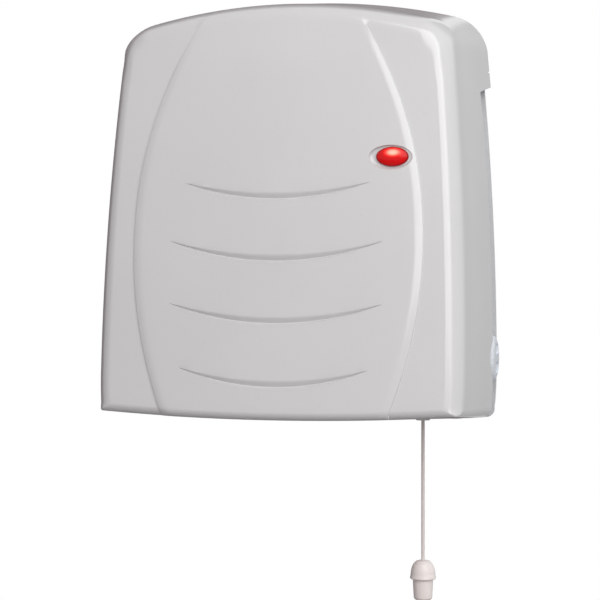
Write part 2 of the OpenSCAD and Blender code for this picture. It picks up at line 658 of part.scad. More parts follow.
// ---- Heating element ----
ROWS_Y = [-34, -49, -64];
board_x = duct_x - 1.5;
board_low = 26;
board_top = 54;
wire_r = 0.45;
module element_boards() {
  color(MICA) place() for (y = ROWS_Y) box(-board_x, board_x, y + 0.5, y - 0.5, board_low, board_top);
}
module element_end_boards() {
  color(MICA) place() for (s = [-1, 1])
    box(s > 0 ? board_x : -duct_x, s > 0 ? duct_x : -board_x, duct_rear - 4, duct_front + 4, 20, 60);
}
function unit(v) = v / norm(v);
function wind(n) = let (q = n % 4, x = (duct_x - 10) * (2 * n / WINDS - 1))
  [x, (q < 2 ? 1 : -1) * 2.4,
    (q == 0 || q == 3) ? board_low - wire_r - 0.02 : board_top + wire_r + 0.02];
WINDS = 64;
module winding(y) {
  path = [for (n = [0:WINDS]) wind(n) + [0, y, 0]];
  pts = [for (n = [0:WINDS]) let (
      t = unit(path[min(n + 1, WINDS)] - path[max(n - 1, 0)]),
      v = unit(cross(t, [1, 0, 0])),
      k = (n == 0 || n == WINDS) ? 1 : 1.4
    ) each [for (c = [[1, 1], [1, -1], [-1, -1], [-1, 1]])
      path[n] + wire_r * (c[0] * [1, 0, 0] + c[1] * k * v)]];
  polyhedron(points = pts, faces = concat([[3, 2, 1, 0], [for (q = [0:3]) 4 * WINDS + q]],
    [for (n = [0:WINDS - 1], q = [0:3]) let (a = 4 * n + q, b = 4 * n + (q + 1) % 4)
      each [[a, b, b + 4], [a, b + 4, a + 4]]]));
}
module element_wire() { color([0.62, 0.60, 0.58]) place() for (y = ROWS_Y) winding(y); }
module thermal_cutout() {
  color(DARK) place() translate([26, duct_front - sheet, 40]) rotate([90, 0, 0]) {
    cylinder(h = 5, r = 7);
    translate([0, 0, 5]) cylinder(h = 1.6, r = 4.6);
    for (s = [-1, 1]) translate([s * 5 - 2.4, -7, 3]) cube([4.8, 14, 0.8]);
  }
}
module thermal_fuse() {
  color([0.85, 0.80, 0.68]) place() {
    xcyl(duct_front - sheet - 2, 40, -26, -14, 2);
    xcyl(duct_front - sheet - 2, 40, -36, -4, 0.6);
    for (x = [-35, -7]) box(x, x + 2, duct_front - sheet, duct_front - sheet - 3, 38.5, 41.5);
  }
}

// ---- Thermostat and knob ----
bush_thread_r = 4.5;
knob_hub_r = 5.4;
knob_edge = 1;
knob_round = 6.5;
nut_r = 7;
nut_h = 2;
module thermostat_body() {
  color([0.88, 0.86, 0.80]) place() difference() {
    union() {
      xcyl(knob_y, knob_z, bracket_x - 15, bracket_x, 13);
      xcyl(knob_y, knob_z, bracket_x - 1, bracket_x + 4, bush_thread_r);
      for (s = [-1, 1]) let (z = knob_z + s * 6)
        box(bracket_x - 19, bracket_x - 14.5, knob_y + 2, knob_y - 2, z - 0.4, z + 0.4);
    }
    xcyl(knob_y, knob_z, bracket_x - 7, bracket_x + 13, spindle_r + fit_run);
  }
}
module thermostat_nut() {
  color(BRASS) place() difference() {
    translate([bracket_x + bracket_t, knob_y, knob_z])
      rotate([0, 90, 0]) cylinder(h = nut_h, r = nut_r, $fn = 6);
    xcyl(knob_y, knob_z, bracket_x - 7, bracket_x + 13, bush_thread_r + 0.02);
  }
}
module thermostat_bracket() {
  color(GALV) place() difference() {
    union() {
      box(bracket_x, bracket_x + bracket_t, -plate_t, -34, bracket_low, 60);
      for (z = BRACKET_Z)
        box(bracket_x - 16, bracket_x + bracket_t, -plate_t, -plate_t - bracket_t, z - 6, z + 6);
    }
    xcyl(knob_y, knob_z, bracket_x - 7, bracket_x + 13, bush_thread_r + 0.02);
    for (z = BRACKET_Z) ycyl(bracket_screw_x, z, 1, -9, m4 + fit_screw);
  }
}
module thermostat_spindle() {
  color(STEEL) place() xcyl(knob_y, knob_z, bracket_x - 6.5, knob_in + 1.8, spindle_r);
}
module thermostat_knob() {
  knob_r = knob_d / 2;
  shoulder = knob_t - knob_edge;
  dome = [for (a = [0:15:90]) [knob_r - knob_round * (1 - cos(a)), knob_edge + shoulder * sin(a)]];
  color([0.76, 0.79, 0.83]) place() translate([knob_in, knob_y, knob_z])
    rotate([0, 90, 0]) difference() {
      rotate_extrude() polygon(concat(
        [[0, -2.4], [knob_hub_r, -2.4], [knob_hub_r, 0], [knob_r, 0]], dome, [[0, knob_t]]));
      translate([0, 0, -3]) cylinder(h = 4.8, r = spindle_r);
      for (k = [0:23]) rotate([0, 0, 15 * k])
        translate([knob_r + 0.25, 0, -1]) cylinder(h = 9, r = 0.8);
      // Grip: two hollows leave a bar across the face
      for (s = [-1, 1]) translate([s * 6.2, 0, knob_t - 1.2]) linear_extrude(5)
        polygon([[-3.6, -8], [3.6, -6], [3.6, 6], [-3.6, 8]]);
    }
}

// ---- Pull switch, cord and pull ----
bore_r = 4.3;
rod_r = 2.5;
module switch_body() {
  color([0.92, 0.92, 0.90]) place() difference() {
    box(pull_x - 11, pull_x + 11, pull_y + 11, pull_y - 11, case_low, case_top);
    zcyl(pull_x, pull_y, spring_low, case_top - 6, bore_r);
    zcyl(pull_x, pull_y, 0, case_low + 6, rod_r + fit_run);
    for (s = [-1, 1]) zcyl(pull_x + s * 8, pull_y, case_top - 10, case_top + 1, m3 + 0.02);
  }
  color(BRASS) place() for (s = [-1, 1]) let (x = pull_x + s * 4)
    box(x - 2.4, x + 2.4, pull_y - 11, pull_y - 18, 30, 30.8);
}
module switch_bracket() {
  color(GALV) place() difference() {
    union() {
      box(end_out, pull_x + 11, pull_y + 11, pull_y - 11, case_top, case_top + bracket_t);
      box(end_out, end_out + bracket_t, pull_y + 11, pull_y - 11, case_top, case_top + 16);
    }
    for (s = [-1, 1]) zcyl(pull_x + s * 8, pull_y, case_top - 4, case_top + 6, m3 + fit_screw);
    for (y = SWITCH_Y) xcyl(y, bracket_hole_z, end_out - 4, end_out + 6, m3 + fit_screw);
  }
}
module switch_plunger() {
  color([0.90, 0.86, 0.78]) place() {
    zcyl(pull_x, pull_y, cord_top, spring_top + 2, rod_r);
    zcyl(pull_x, pull_y, spring_top, spring_top + 4, bore_r - fit_move);
  }
}
spring_low = case_low + 3;
spring_top = case_top - 14;
module switch_spring() {
  turns = 5;
  steps = 60;
  wr = 0.45;
  rr = 3.3;
  z0 = spring_low + wr + 0.05;
  dz = spring_top - spring_low - 2 * wr - 0.1;
  pts = [for (i = [0:steps], q = [0:3]) let (
      a = 360 * turns * i / steps,
      r = rr + wr * cos(90 * q)
    ) [r * cos(a), r * sin(a), z0 + dz * i / steps + wr * sin(90 * q)]];
  color(STEEL) place() translate([pull_x, pull_y, 0]) polyhedron(points = pts, faces = concat(
    [[0, 1, 2, 3], [for (q = [3:-1:0]) 4 * steps + q]],
    [for (i = [0:steps - 1], q = [0:3]) let (a = 4 * i + q, b = 4 * i + (q + 1) % 4)
      each [[a, b + 4, b], [a, a + 4, b + 4]]]));
}
module cord_guide() {
  color([0.90, 0.90, 0.89]) place() difference() {
    union() {
      zcyl(pull_x, pull_y, guide_low, guide_seat + 1, guide_r);
      zcyl(pull_x, pull_y, guide_seat, guide_seat + 1.5, guide_flange);
    }
    zcyl(pull_x, pull_y, -20, 0, cord_r + 0.55);
  }
}
// Route of the pull cord, from the plunger to the bell
CORD = [[pull_x, pull_y, cord_top], [pull_x, pull_y, bell_top - 4]];
CORD_STEPS = 22;
module pull_cord() {
  pts = [for (i = [0:CORD_STEPS], q = [0:7]) let (p = CORD[0] + (CORD[1] - CORD[0]) * i / CORD_STEPS)
    p + cord_r * [cos(45 * q), sin(45 * q), 0]];
  color(CREAM) place() polyhedron(points = pts, faces = concat(
    [[for (q = [0:7]) q], [for (q = [7:-1:0]) 8 * CORD_STEPS + q]],
    [for (i = [0:CORD_STEPS - 1], q = [0:7]) let (a = 8 * i + q, b = 8 * i + (q + 1) % 8)
      each [[a, a + 8, b + 8], [a, b + 8, b]]]));
}
module cord_bell() {
  br = bell_d / 2;
  h = bell_top - bell_low;
  color(CREAM) place() translate([pull_x, pull_y, bell_low]) rotate_extrude()
    polygon([[neck_r + 0.02, 0], [br, 0], [br, 1.6], [br - 0.4, h * 0.45], [br - 1.3, h * 0.68],
      [br - 3.2, h * 0.9], [br - 4.4, h], [cord_r + 0.1, h], [cord_r + 0.1, h - 3],
      [neck_r + 0.02, h - 4]]);
}
neck_r = 5.8;
module cord_plug() {
  h = bell_low - plug_low;
  color(CREAM) place() translate([pull_x, pull_y, plug_low]) rotate_extrude()
    polygon([[0, 0], [4.6, 0], [5.7, 0.8], [6.1, 2.2], [6.75, h - 1], [6.75, h], [neck_r, h],
      [neck_r, h + 6], [cord_r + 0.1, h + 6], [cord_r + 0.1, h + 4.2], [0, h + 4.2]]);
}

// ---- Supply connection ----
module terminal_block() {
  color([0.90, 0.90, 0.86]) place() difference() {
    union() {
      box(block_x0, block_x0 + block_w, -plate_t, -7, block_z - 9, block_z + 9);
      for (i = [0:3]) let (x = BLOCK_IN + barrel_step * i)
        box(x, x + barrel_w, -plate_t, -18, block_z - 9, block_z + 9);
    }
    for (i = [0:3]) let (x = BLOCK_IN + barrel_step * i + barrel_w / 2) {
      zcyl(x, -10, block_z - 12, block_z + 12, 1.7);
      for (s = [-1, 1]) ycyl(x, block_z + s * 4.5, -10, -20, 1.62);
    }
    for (x = BLOCK_X) ycyl(x, block_z, 1, -20, m3 + fit_screw);
  }
}
module terminal_screws() {
  color(BRASS) place() {
    for (i = [0:3], s = [-1, 1]) let (x = BLOCK_IN + barrel_step * i + barrel_w / 2) difference() {
      ycyl(x, block_z + s * 4.5, -12, -16.5, 1.6);
      box(x - 1.8, x + 1.8, -15.9, -17, block_z + s * 4.5 - 0.25, block_z + s * 4.5 + 0.25);
    }
    for (x = BLOCK_X) pan_screw_y(x, block_z, -7, 6.2, m3, 2.8);
  }
}
// Pan head screw along Y: seat of the head, length of the shank behind it
module pan_screw_y(x, z, seat, len, r, head_r) {
  difference() {
    union() {
      ycyl(x, z, seat + len, seat, r);
      ycyl(x, z, seat, seat - 1.8, head_r);
    }
    for (a = [0, 90]) translate([x, seat - 1.8, z])
      rotate([0, a, 0]) cube([head_r * 1.1, 1.8, 0.7], center = true);
  }
}
module cord_clamp() {
  color([0.90, 0.90, 0.86]) place() difference() {
    box(cable_x - 16, cable_x + 16, clamp_base, clamp_base - 3, clamp_z - 5, clamp_z + 5);
    for (s = [-1, 1]) ycyl(cable_x + s * clamp_dx, clamp_z, 1, -20, m3 + fit_screw);
    zcyl(cable_x, clamp_base + 3.4, clamp_z - 6, clamp_z + 6, 4.6);
  }
}
module clamp_screws() {
  color(STEEL) place() for (s = [-1, 1])
    pan_screw_y(cable_x + s * clamp_dx, clamp_z, clamp_base - 3, 9, m3, 2.8);
}
module cable_grommet() {
  color(DARK) place() difference() {
    union() {
      ycyl(cable_x, cable_z, 0, -plate_t - 1, grommet_r);
      ycyl(cable_x, cable_z, -plate_t, -plate_t - 2, grommet_r + 2.5);
    }
    ycyl(cable_x, cable_z, 1, -9, cable_bore / 2);
  }
}
module earth_tag() {
  color(BRASS) place() difference() {
    union() {
      ycyl(earth_x, earth_z, -plate_t, -plate_t - 0.8, 5);
      box(earth_x - 2.4, earth_x + 2.4, -plate_t, -plate_t - 0.8, earth_z, earth_z + 14);
    }
    ycyl(earth_x, earth_z, 1, -9, m4 + fit_screw);
  }
}
module earth_screw() {
  color(BRASS) place() pan_screw_y(earth_x, earth_z, -plate_t - 0.8, 2.8, m4, 3.8);
}

// ---- Fixing screws ----
module cover_screws() {
  color(STEEL) place() for (s = [-1, 1]) translate([s * cover_screw_x, cover_screw_y, 0]) difference() {
    union() {
      translate([0, 0, cover_seat]) cylinder(h = 11, r = m4);
      translate([0, 0, cover_seat - 2]) cylinder(h = 2, r = 3.8);
    }
    for (a = [0, 90]) rotate([0, 0, a])
      translate([0, 0, cover_seat - 2]) cube([4, 0.8, 2], center = true);
  }
}
module housing_screws() {
  color(STEEL) place() for (s = [-1, 1], z = HOUSING_Z)
    pan_screw_y(s * foot_x, z, -plate_t - end_t, 4, m4, 3.8);
}
module grille_screws() {
  color(STEEL) place() for (s = [-1, 1], y = GRILLE_Y) translate([s * foot_x, y, 0]) difference() {
    union() {
      translate([0, 0, grille_top - grille_t]) cylinder(h = 6.5, r = m3);
      translate([0, 0, grille_top - grille_t - 1.6]) cylinder(h = 1.6, r = 2.8);
    }
    for (a = [0, 90]) rotate([0, 0, a])
      translate([0, 0, grille_top - grille_t - 1.6]) cube([3, 0.6, 1.4], center = true);
  }
}
module bracket_screws() {
  color(STEEL) place() {
    for (z = BRACKET_Z) pan_screw_y(bracket_screw_x, z, -plate_t - bracket_t, 3.5, m4, 3.6);
    for (y = SWITCH_Y) {
      xcyl(y, bracket_hole_z, duct_x, end_out + bracket_t, m3);
      xcyl(y, bracket_hole_z, end_out + bracket_t, end_out + bracket_t + 1.6, 2.8);
    }
    for (s = [-1, 1]) {
      zcyl(pull_x + s * 8, pull_y, case_top - 8, case_top + bracket_t, m3);
      zcyl(pull_x + s * 8, pull_y, case_top + bracket_t, case_top + bracket_t + 1.6, 2.8);
    }
  }
}

back_plate();
front_cover();
neon_lens();
neon_lamp();
neon_holder();
outlet_grille();
scroll_sheet();
tongue_sheet();
end_plate_left();
end_plate_right();
heat_shield();
fan_wheel();
fan_shaft();
end_bearing();
motor_rotor();
motor_stator();
motor_coil();
motor_bridge_front();
motor_bridge_rear();
motor_screws();
motor_spacers();
element_boards();
element_end_boards();
element_wire();
thermal_cutout();
thermal_fuse();
thermostat_body();
thermostat_nut();
thermostat_bracket();
thermostat_spindle();
thermostat_knob();
switch_body();
switch_bracket();
switch_plunger();
switch_spring();
cord_guide();
pull_cord();
cord_bell();
cord_plug();
terminal_block();
terminal_screws();
cord_clamp();
clamp_screws();
cable_grommet();
earth_tag();
earth_screw();
cover_screws();
housing_screws();
grille_screws();
bracket_screws();
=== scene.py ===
# %% [markdown]
# # A bathroom wall fan heater
# The heater hangs on a wall and blows warm air out of its underside. A domed plastic cover hides
# the fan, the element and the switch, and only a red neon lens, a thermostat knob and a pull cord
# show. The imported model already holds every piece at its real size, so this lesson gives each
# piece its finish and makes again, finer, the few pieces whose curves carry the look: the cover,
# the lens, the knob, the cord and its pull. The small spring inside the switch is made again too.

# %% Load the imported model
import bpy
import bmesh
import json
import math
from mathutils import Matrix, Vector


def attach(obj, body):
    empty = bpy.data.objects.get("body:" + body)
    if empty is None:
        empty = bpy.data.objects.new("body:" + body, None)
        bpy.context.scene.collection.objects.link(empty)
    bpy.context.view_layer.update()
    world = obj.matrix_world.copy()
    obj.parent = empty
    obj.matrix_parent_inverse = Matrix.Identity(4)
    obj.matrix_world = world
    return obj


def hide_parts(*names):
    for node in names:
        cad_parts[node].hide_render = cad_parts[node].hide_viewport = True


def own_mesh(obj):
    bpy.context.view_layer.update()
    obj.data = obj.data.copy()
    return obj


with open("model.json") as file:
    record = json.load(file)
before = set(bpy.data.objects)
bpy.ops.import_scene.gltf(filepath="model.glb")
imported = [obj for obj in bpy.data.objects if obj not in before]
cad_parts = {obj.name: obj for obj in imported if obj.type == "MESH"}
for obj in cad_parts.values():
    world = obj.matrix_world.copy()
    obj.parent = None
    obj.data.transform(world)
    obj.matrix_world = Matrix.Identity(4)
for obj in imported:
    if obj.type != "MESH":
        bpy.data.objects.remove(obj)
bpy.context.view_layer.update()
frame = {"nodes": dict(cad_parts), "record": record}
MM = 0.001
print("pieces in the frame:", len(frame["nodes"]))

# %% [markdown]
# Faces and edges are then picked in code, by where they lie or where they point, as a modeller
# would click them.

# %% Picking objects, faces and edges
def pick(*pieces):
    """Only these objects are selected, and the first is active."""
    if bpy.context.mode != "OBJECT":
        bpy.ops.object.mode_set(mode="OBJECT")
    bpy.ops.object.select_all(action="DESELECT")
    for piece in pieces:
        piece.select_set(True)
    bpy.context.view_layer.objects.active = pieces[0] if pieces else None


def edit(piece, kind="FACE", test=None):
    """Opens a piece in edit mode and selects the faces, edges or points that pass the test."""
    pick(piece)
    bpy.ops.object.mode_set(mode="EDIT")
    bpy.ops.mesh.select_mode(type=kind)
    bpy.ops.mesh.select_all(action="DESELECT")
    cage = bmesh.from_edit_mesh(piece.data)
    parts = {"FACE": cage.faces, "EDGE": cage.edges, "VERT": cage.verts}[kind]
    chosen = [p for p in parts if test is None or test(p)]
    for part in chosen:
        part.select_set(True)
    bmesh.update_edit_mesh(piece.data)
    return len(chosen)


def done():
    bpy.ops.object.mode_set(mode="OBJECT")


def extrude(x, y, z):
    """Extrudes what is selected by a distance along each axis."""
    bpy.ops.mesh.extrude_region_move(TRANSFORM_OT_translate={"value": (x, y, z)})


def newest(name):
    """The primitive that was just added, under its own name."""
    piece = bpy.context.object
    piece.name = name
    piece.data.name = name
    return piece


def settle(piece, angle=30):
    """Puts the piece's place into its mesh and smooths all but its real edges."""
    pick(piece)
    bpy.ops.object.transform_apply()
    bpy.ops.object.shade_smooth_by_angle(angle=math.radians(angle))
    return piece


def outward(piece):
    """Merges doubles and turns every face outwards."""
    edit(piece)
    bpy.ops.mesh.remove_doubles(threshold=1e-6)
    bpy.ops.mesh.normals_make_consistent(inside=False)
    done()


def modify(piece, kind, **settings):
    """Adds a modifier, sets it up and applies it."""
    pick(piece)
    step = piece.modifiers.new(kind.title(), kind)
    for key, value in settings.items():
        setattr(step, key, value)
    bpy.ops.object.modifier_apply(modifier=step.name)


print("helpers ready")

# %% [markdown]
# The camera comes first. The photograph was taken from a little to the right of the heater,
# almost level with its lower half, with a long lens. The lens axis isn't in the middle of the
# picture, so a small shift frames it.

# %% Camera
VIEW_TURN = math.radians(13.08)
VIEW_DISTANCE = 1.3907
VIEW_HEIGHT = -0.0206
FRAME_PIXELS = 600
FOCAL_PIXELS = 2016
AXIS_U, AXIS_V = 315.4, 240.7
SENSOR = 36.0

bpy.ops.object.camera_add(
    location=(VIEW_DISTANCE * math.sin(VIEW_TURN), -VIEW_DISTANCE * math.cos(VIEW_TURN),
              VIEW_HEIGHT),
    rotation=(math.pi / 2, 0, VIEW_TURN),
)
camera = bpy.context.object
camera.data.sensor_width = SENSOR
camera.data.lens = FOCAL_PIXELS / FRAME_PIXELS * SENSOR
camera.data.shift_x = (FRAME_PIXELS / 2 - AXIS_U) / FRAME_PIXELS
camera.data.shift_y = (AXIS_V - FRAME_PIXELS / 2) / FRAME_PIXELS
bpy.context.scene.camera = camera
print("lens in mm:", round(camera.data.lens, 1))

# %% [markdown]
# The pull cord is a thin braided nylon cord that hangs dead straight from the switch, because the
# pull weighs it down. It could be a curve with a round profile, but the braid is what tells it
# from a wire. So it is a slim cylinder, cut into many rings, whose surface is pushed in and out
# where two sets of strands cross. Its centreline repeats the route of the frame's own cord.

# %% Pull cord
CORD_X, CORD_Y = 85 * MM, -55 * MM
CORD_TOP, CORD_END = -124 * MM, -233.3 * MM
CORD_D = 2.3 * MM
CORD_SIDES = 24
CORD_SECTIONS, CORD_RINGS = 20, 220
STRANDS = 6
STRAND_PITCH = 9.0 * MM
STRAND_RELIEF, STRAND_LEVEL = 0.07 * MM, 0.8

cord_length = CORD_TOP - CORD_END

pick()
bpy.ops.mesh.primitive_cylinder_add(
    vertices=CORD_SIDES, radius=CORD_D / 2, depth=cord_length, end_fill_type="NGON",
    location=(CORD_X, CORD_Y, (CORD_TOP + CORD_END) / 2),
)
pull_cord = newest("pull_cord_braid")
section = cord_length / CORD_SECTIONS
for length, parts in ((cord_length, CORD_SECTIONS), (section, CORD_RINGS // CORD_SECTIONS)):
    edit(pull_cord, "EDGE", lambda e: abs(e.verts[0].co.z - e.verts[1].co.z) > length / 2)
    bpy.ops.mesh.subdivide(number_cuts=parts - 1)
    done()
for v in pull_cord.data.vertices:
    around = math.atan2(v.co.y, v.co.x)
    along = 2 * math.pi * v.co.z / STRAND_PITCH
    right_hand = math.cos(STRANDS * around + along * STRANDS / 2)
    left_hand = math.cos(STRANDS * around - along * STRANDS / 2)
    relief = STRAND_RELIEF * (max(right_hand, left_hand) - STRAND_LEVEL)
    v.co.x += relief * math.cos(around)
    v.co.y += relief * math.sin(around)
settle(pull_cord, 40)
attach(pull_cord, "pull")
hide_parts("pull_cord")
print("cord length in mm:", round(cord_length / MM, 1), "faces:", len(pull_cord.data.polygons))

# %% [markdown]
# The pull at the cord's end is two mouldings: a bell with a small flared lip, and a plug pressed
# into it from below, which hides the knot. Both were turned shapes before they were moulded, so
# both are made as a lathe would: a ring is drawn at the bottom and extruded upwards, and each new
# ring is scaled to the radius that the photograph shows at that height.

# %% A lathe made of extruded rings
TURN_SIDES = 64


def turned(name, centre, rings, sides=TURN_SIDES):
    """A round piece: rings is a list of (radius, height) in mm, from one end to the other."""
    x, y, base = centre
    rings = [(r * MM, z * MM) for r, z in rings]
    radius, height = rings[0]
    pick()
    bpy.ops.mesh.primitive_circle_add(
        vertices=sides, radius=radius, fill_type="NGON", location=(x, y, base + height))
    piece = newest(name)
    bpy.ops.object.transform_apply()
    edit(piece)
    for next_r, next_z in rings[1:]:
        extrude(0, 0, next_z - height)
        bpy.ops.transform.resize(
            value=(next_r / radius, next_r / radius, 1), center_override=(x, y, base + next_z))
        radius, height = next_r, next_z
    done()
    outward(piece)
    return piece


def arc(r0, z0, r1, z1, steps):
    """Ring radii and heights on a quarter of an ellipse from (r0, z0) to (r1, z1)."""
    turns = [math.pi / 2 * i / steps for i in range(1, steps + 1)]
    return [(r1 + (r0 - r1) * math.cos(t), z0 + (z1 - z0) * math.sin(t)) for t in turns]


print("lathe ready")

# %% The bell and the plug of the pull
BELL_D, BELL_H, BELL_LOW = 17.2, 12.2, -241.5
PLUG_H = 14.0
bell_r, cord_r = BELL_D / 2, CORD_D / 2 / MM

bell_rings = [(bell_r - 2.0, 0.35), (bell_r - 1.9, 0), (bell_r - 0.5, 0)]
bell_rings += arc(bell_r - 0.5, 0, bell_r, 0.55, 4)[:3]
bell_rings += [(bell_r, 0.6), (bell_r - 0.05, 1.2), (bell_r - 0.35, 2.0)]
bell_rings += arc(bell_r - 0.5, 2.6, 3.0, BELL_H - 0.25, 18)
bell_rings += [(2.5, BELL_H), (1.5, BELL_H), (cord_r + 0.1, BELL_H - 0.35)]
bell = turned("cord_bell_shell", (CORD_X, CORD_Y, BELL_LOW * MM), bell_rings)
settle(bell, 35)

FOOT_R, FOOT_H = 2.5, 2.32
plug_foot = [math.pi / 18 * i for i in range(1, 10)]
plug_rings = [(2.6, 0), (3.6, 0.08)]
plug_rings += [(3.6 + FOOT_R * math.sin(t), 0.08 + FOOT_H * (1 - math.cos(t))) for t in plug_foot]
plug_rings += [(6.35, 7.0), (6.62, PLUG_H - 1.6), (6.62, PLUG_H - 1.1), (6.45, PLUG_H - 0.9),
               (6.45, PLUG_H - 0.5), (6.7, PLUG_H - 0.3), (6.7, PLUG_H - 0.05), (5.6, PLUG_H),
               (5.6, PLUG_H + 5)]
plug = turned("cord_plug_body", (CORD_X, CORD_Y, (BELL_LOW - PLUG_H) * MM), plug_rings)
settle(plug, 35)

for piece, node in ((bell, "cord_bell"), (plug, "cord_plug")):
    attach(piece, "pull")
    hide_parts(node)
print("pull height in mm:", round(BELL_H + PLUG_H, 1))

# %% [markdown]
# Inside the switch a small compression spring lifts the plunger back after each pull. It is wound
# from round wire, so a ring the size of the wire's section is carried round the plunger's rod and
# upwards by the screw modifier. Its lower end stays on the floor of the case.

# %% Switch spring
SPRING_LOW, SPRING_TOP = -115 * MM, -100 * MM
SPRING_R, WIRE_R, SPRING_TURNS = 3.3 * MM, 0.45 * MM, 5
SPRING_PLAY = 0.05 * MM
spring_free = SPRING_TOP - SPRING_LOW
spring_rise = spring_free - 2 * (WIRE_R + SPRING_PLAY)

pick()
bpy.ops.mesh.primitive_circle_add(
    vertices=12, radius=WIRE_R, fill_type="NOTHING", rotation=(math.pi / 2, 0, 0),
    location=(CORD_X, CORD_Y, SPRING_LOW + WIRE_R + SPRING_PLAY))
spring = newest("switch_spring_wire")
bpy.ops.object.transform_apply(location=False, rotation=True)
edit(spring, "VERT")
bpy.ops.transform.translate(value=(SPRING_R, 0, 0))
done()
modify(spring, "SCREW", axis="Z", angle=2 * math.pi, screw_offset=spring_rise / SPRING_TURNS,
       iterations=SPRING_TURNS, steps=28, render_steps=28)
edit(spring, "EDGE")
bpy.ops.mesh.fill_holes(sides=0)
done()
outward(spring)
settle(spring, 50)
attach(spring, "chassis")
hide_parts("switch_spring")
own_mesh(spring)

# %% [markdown]
# The cover's shape is a few rules, the same as in the frame's own source: how wide it is at each
# height, where the raised shield ends, how far the front leans back, and how round each edge is.
# They are written in millimetres, above the cover's lower reference line, with the depth measured
# from the wall. Working from the same rules keeps this cover exactly where the frame has it.

# %% The cover's measures
BODY_HALF, BODY_H, BODY_D = 130, 273, 122.5
COVER_WALL = 2.6
WIDE_Z, SIDE_TAPER, TOP_ARCH, BOTTOM_ARCH = 24, 14.3, 17.3, 3.9
FRONT_LEAN, FRONT_BULGE, UNDER_DROP = 25, 5.5, 9.6
CORNER_TOP, CORNER_BOTTOM = 22, 7
EDGE_SIDE_IN, EDGE_SIDE_DEEP = 11, 18
EDGE_TOP_IN, EDGE_TOP_DEEP = 11.5, 45
EDGE_LOW, DRAFT = 5.2, 0.092
SHIELD_HALF, SHIELD_Z, SHIELD_LOW_IN, SHIELD_HIGH_IN = 94.6, 107, 20.5, 54.3
SHIELD_RISE, SHIELD_STEP, SHIELD_EDGE, STEP_W = 2, 0.9, 6.5, 0.3
SHIELD_CURVE, FADE_FROM, FADE_OVER = 2.15, 0.8, 0.15
CURL_FROM, CURL_DEEP = 0.4, 2.5
MOUNT_Z = 130


def half_at(z):
    taper = SIDE_TAPER * (max(z - WIDE_Z, 0) / (BODY_H - WIDE_Z)) ** 2
    return BODY_HALF - taper - (max(WIDE_Z - z, 0) / WIDE_Z) ** 2


def seam_at(z):
    if z < SHIELD_Z:
        return SHIELD_HALF - SHIELD_LOW_IN * ((SHIELD_Z - max(z, 0)) / SHIELD_Z) ** 2
    return SHIELD_HALF - SHIELD_HIGH_IN * ((z - SHIELD_Z) / (BODY_H - SHIELD_Z)) ** SHIELD_CURVE


def smooth(t):
    t = min(max(t, 0), 1)
    return t * t * (3 - 2 * t)


def rise_at(x, z):
    """Height of the shield at a point inside its edge; it fades out below the top."""
    e = min(max((seam_at(z) - abs(x)) / SHIELD_EDGE, 0), 1)
    fade = 1 - smooth((z - FADE_FROM * BODY_H) / (FADE_OVER * BODY_H))
    return fade * (SHIELD_STEP + (SHIELD_RISE - SHIELD_STEP) * (1 - (1 - e) ** 2))


def side_depth(x, z):
    lean = FRONT_LEAN * z / BODY_H + CURL_DEEP * ((z / BODY_H - CURL_FROM) / (1 - CURL_FROM)) ** 2
    return BODY_D - lean - FRONT_BULGE * (x / BODY_HALF) ** 2


def depth_at(x, z):
    return side_depth(x, z) + (rise_at(x, z) if abs(x) <= seam_at(z) else 0)


def to_row(x, depth, z):
    """From millimetres on the cover to metres in the row's frame."""
    return Vector((x * MM, -depth * MM, (z - MOUNT_Z) * MM))


print("half width at the top in mm:", round(half_at(BODY_H - TOP_ARCH - CORNER_TOP), 1))

# %% [markdown]
# The skin is one grid. Its columns follow the shield: flat field, rolled edge, a narrow step,
# side part and rounded corner. Its rows run from the lower edge to the top. The walls round it
# are rings of stages: g runs along the straight wall from the rim, f turns through the rounded
# edge into the front. One function gives the place of any column, height and stage.

# %% Columns, rows and stages of the skin
FIELD_COLS, ROLL_COLS, SIDE_COLS, CORNER_COLS = 16, 6, 9, 9
SEAM_COL = FIELD_COLS + ROLL_COLS
FOOT_COL = SEAM_COL + 1
CORNER_COL = FOOT_COL + SIDE_COLS
HALF_COLS = CORNER_COL + CORNER_COLS
ROWS = 60
WALL_STAGES, ROUND_STAGES = 5, 10
STAGES = [(i / WALL_STAGES, 0) for i in range(WALL_STAGES)]
STAGES += [(1, math.radians(90 / ROUND_STAGES * i)) for i in range(ROUND_STAGES + 1)]
TIGHTEN_TOP, LEAST_TOP = 0.5, 5
TIGHTEN_LOW, LEAST_LOW = 0.3, 3
SEAM_FOOT, SEAM_HEAD = 0.6, 0.12


def corner_turn(k):
    return max(k - CORNER_COL, 0) / CORNER_COLS * math.pi / 2


def across(k, s, a, r):
    """Distance from the middle of column k, out to half width a with corner radius r."""
    if k <= FIELD_COLS:
        return (s - SHIELD_EDGE) * k / FIELD_COLS
    if k <= SEAM_COL:
        return s - SHIELD_EDGE * (SEAM_COL - k) / ROLL_COLS
    if k <= CORNER_COL:
        return s + STEP_W + (a - r - s - STEP_W) * (k - FOOT_COL) / SIDE_COLS
    return a - r + r * math.sin(corner_turn(k))


def wall_in(edge_in, edge_deep, g, f):
    return DRAFT * (BODY_D - edge_deep) * g + edge_in * (1 - math.cos(f))


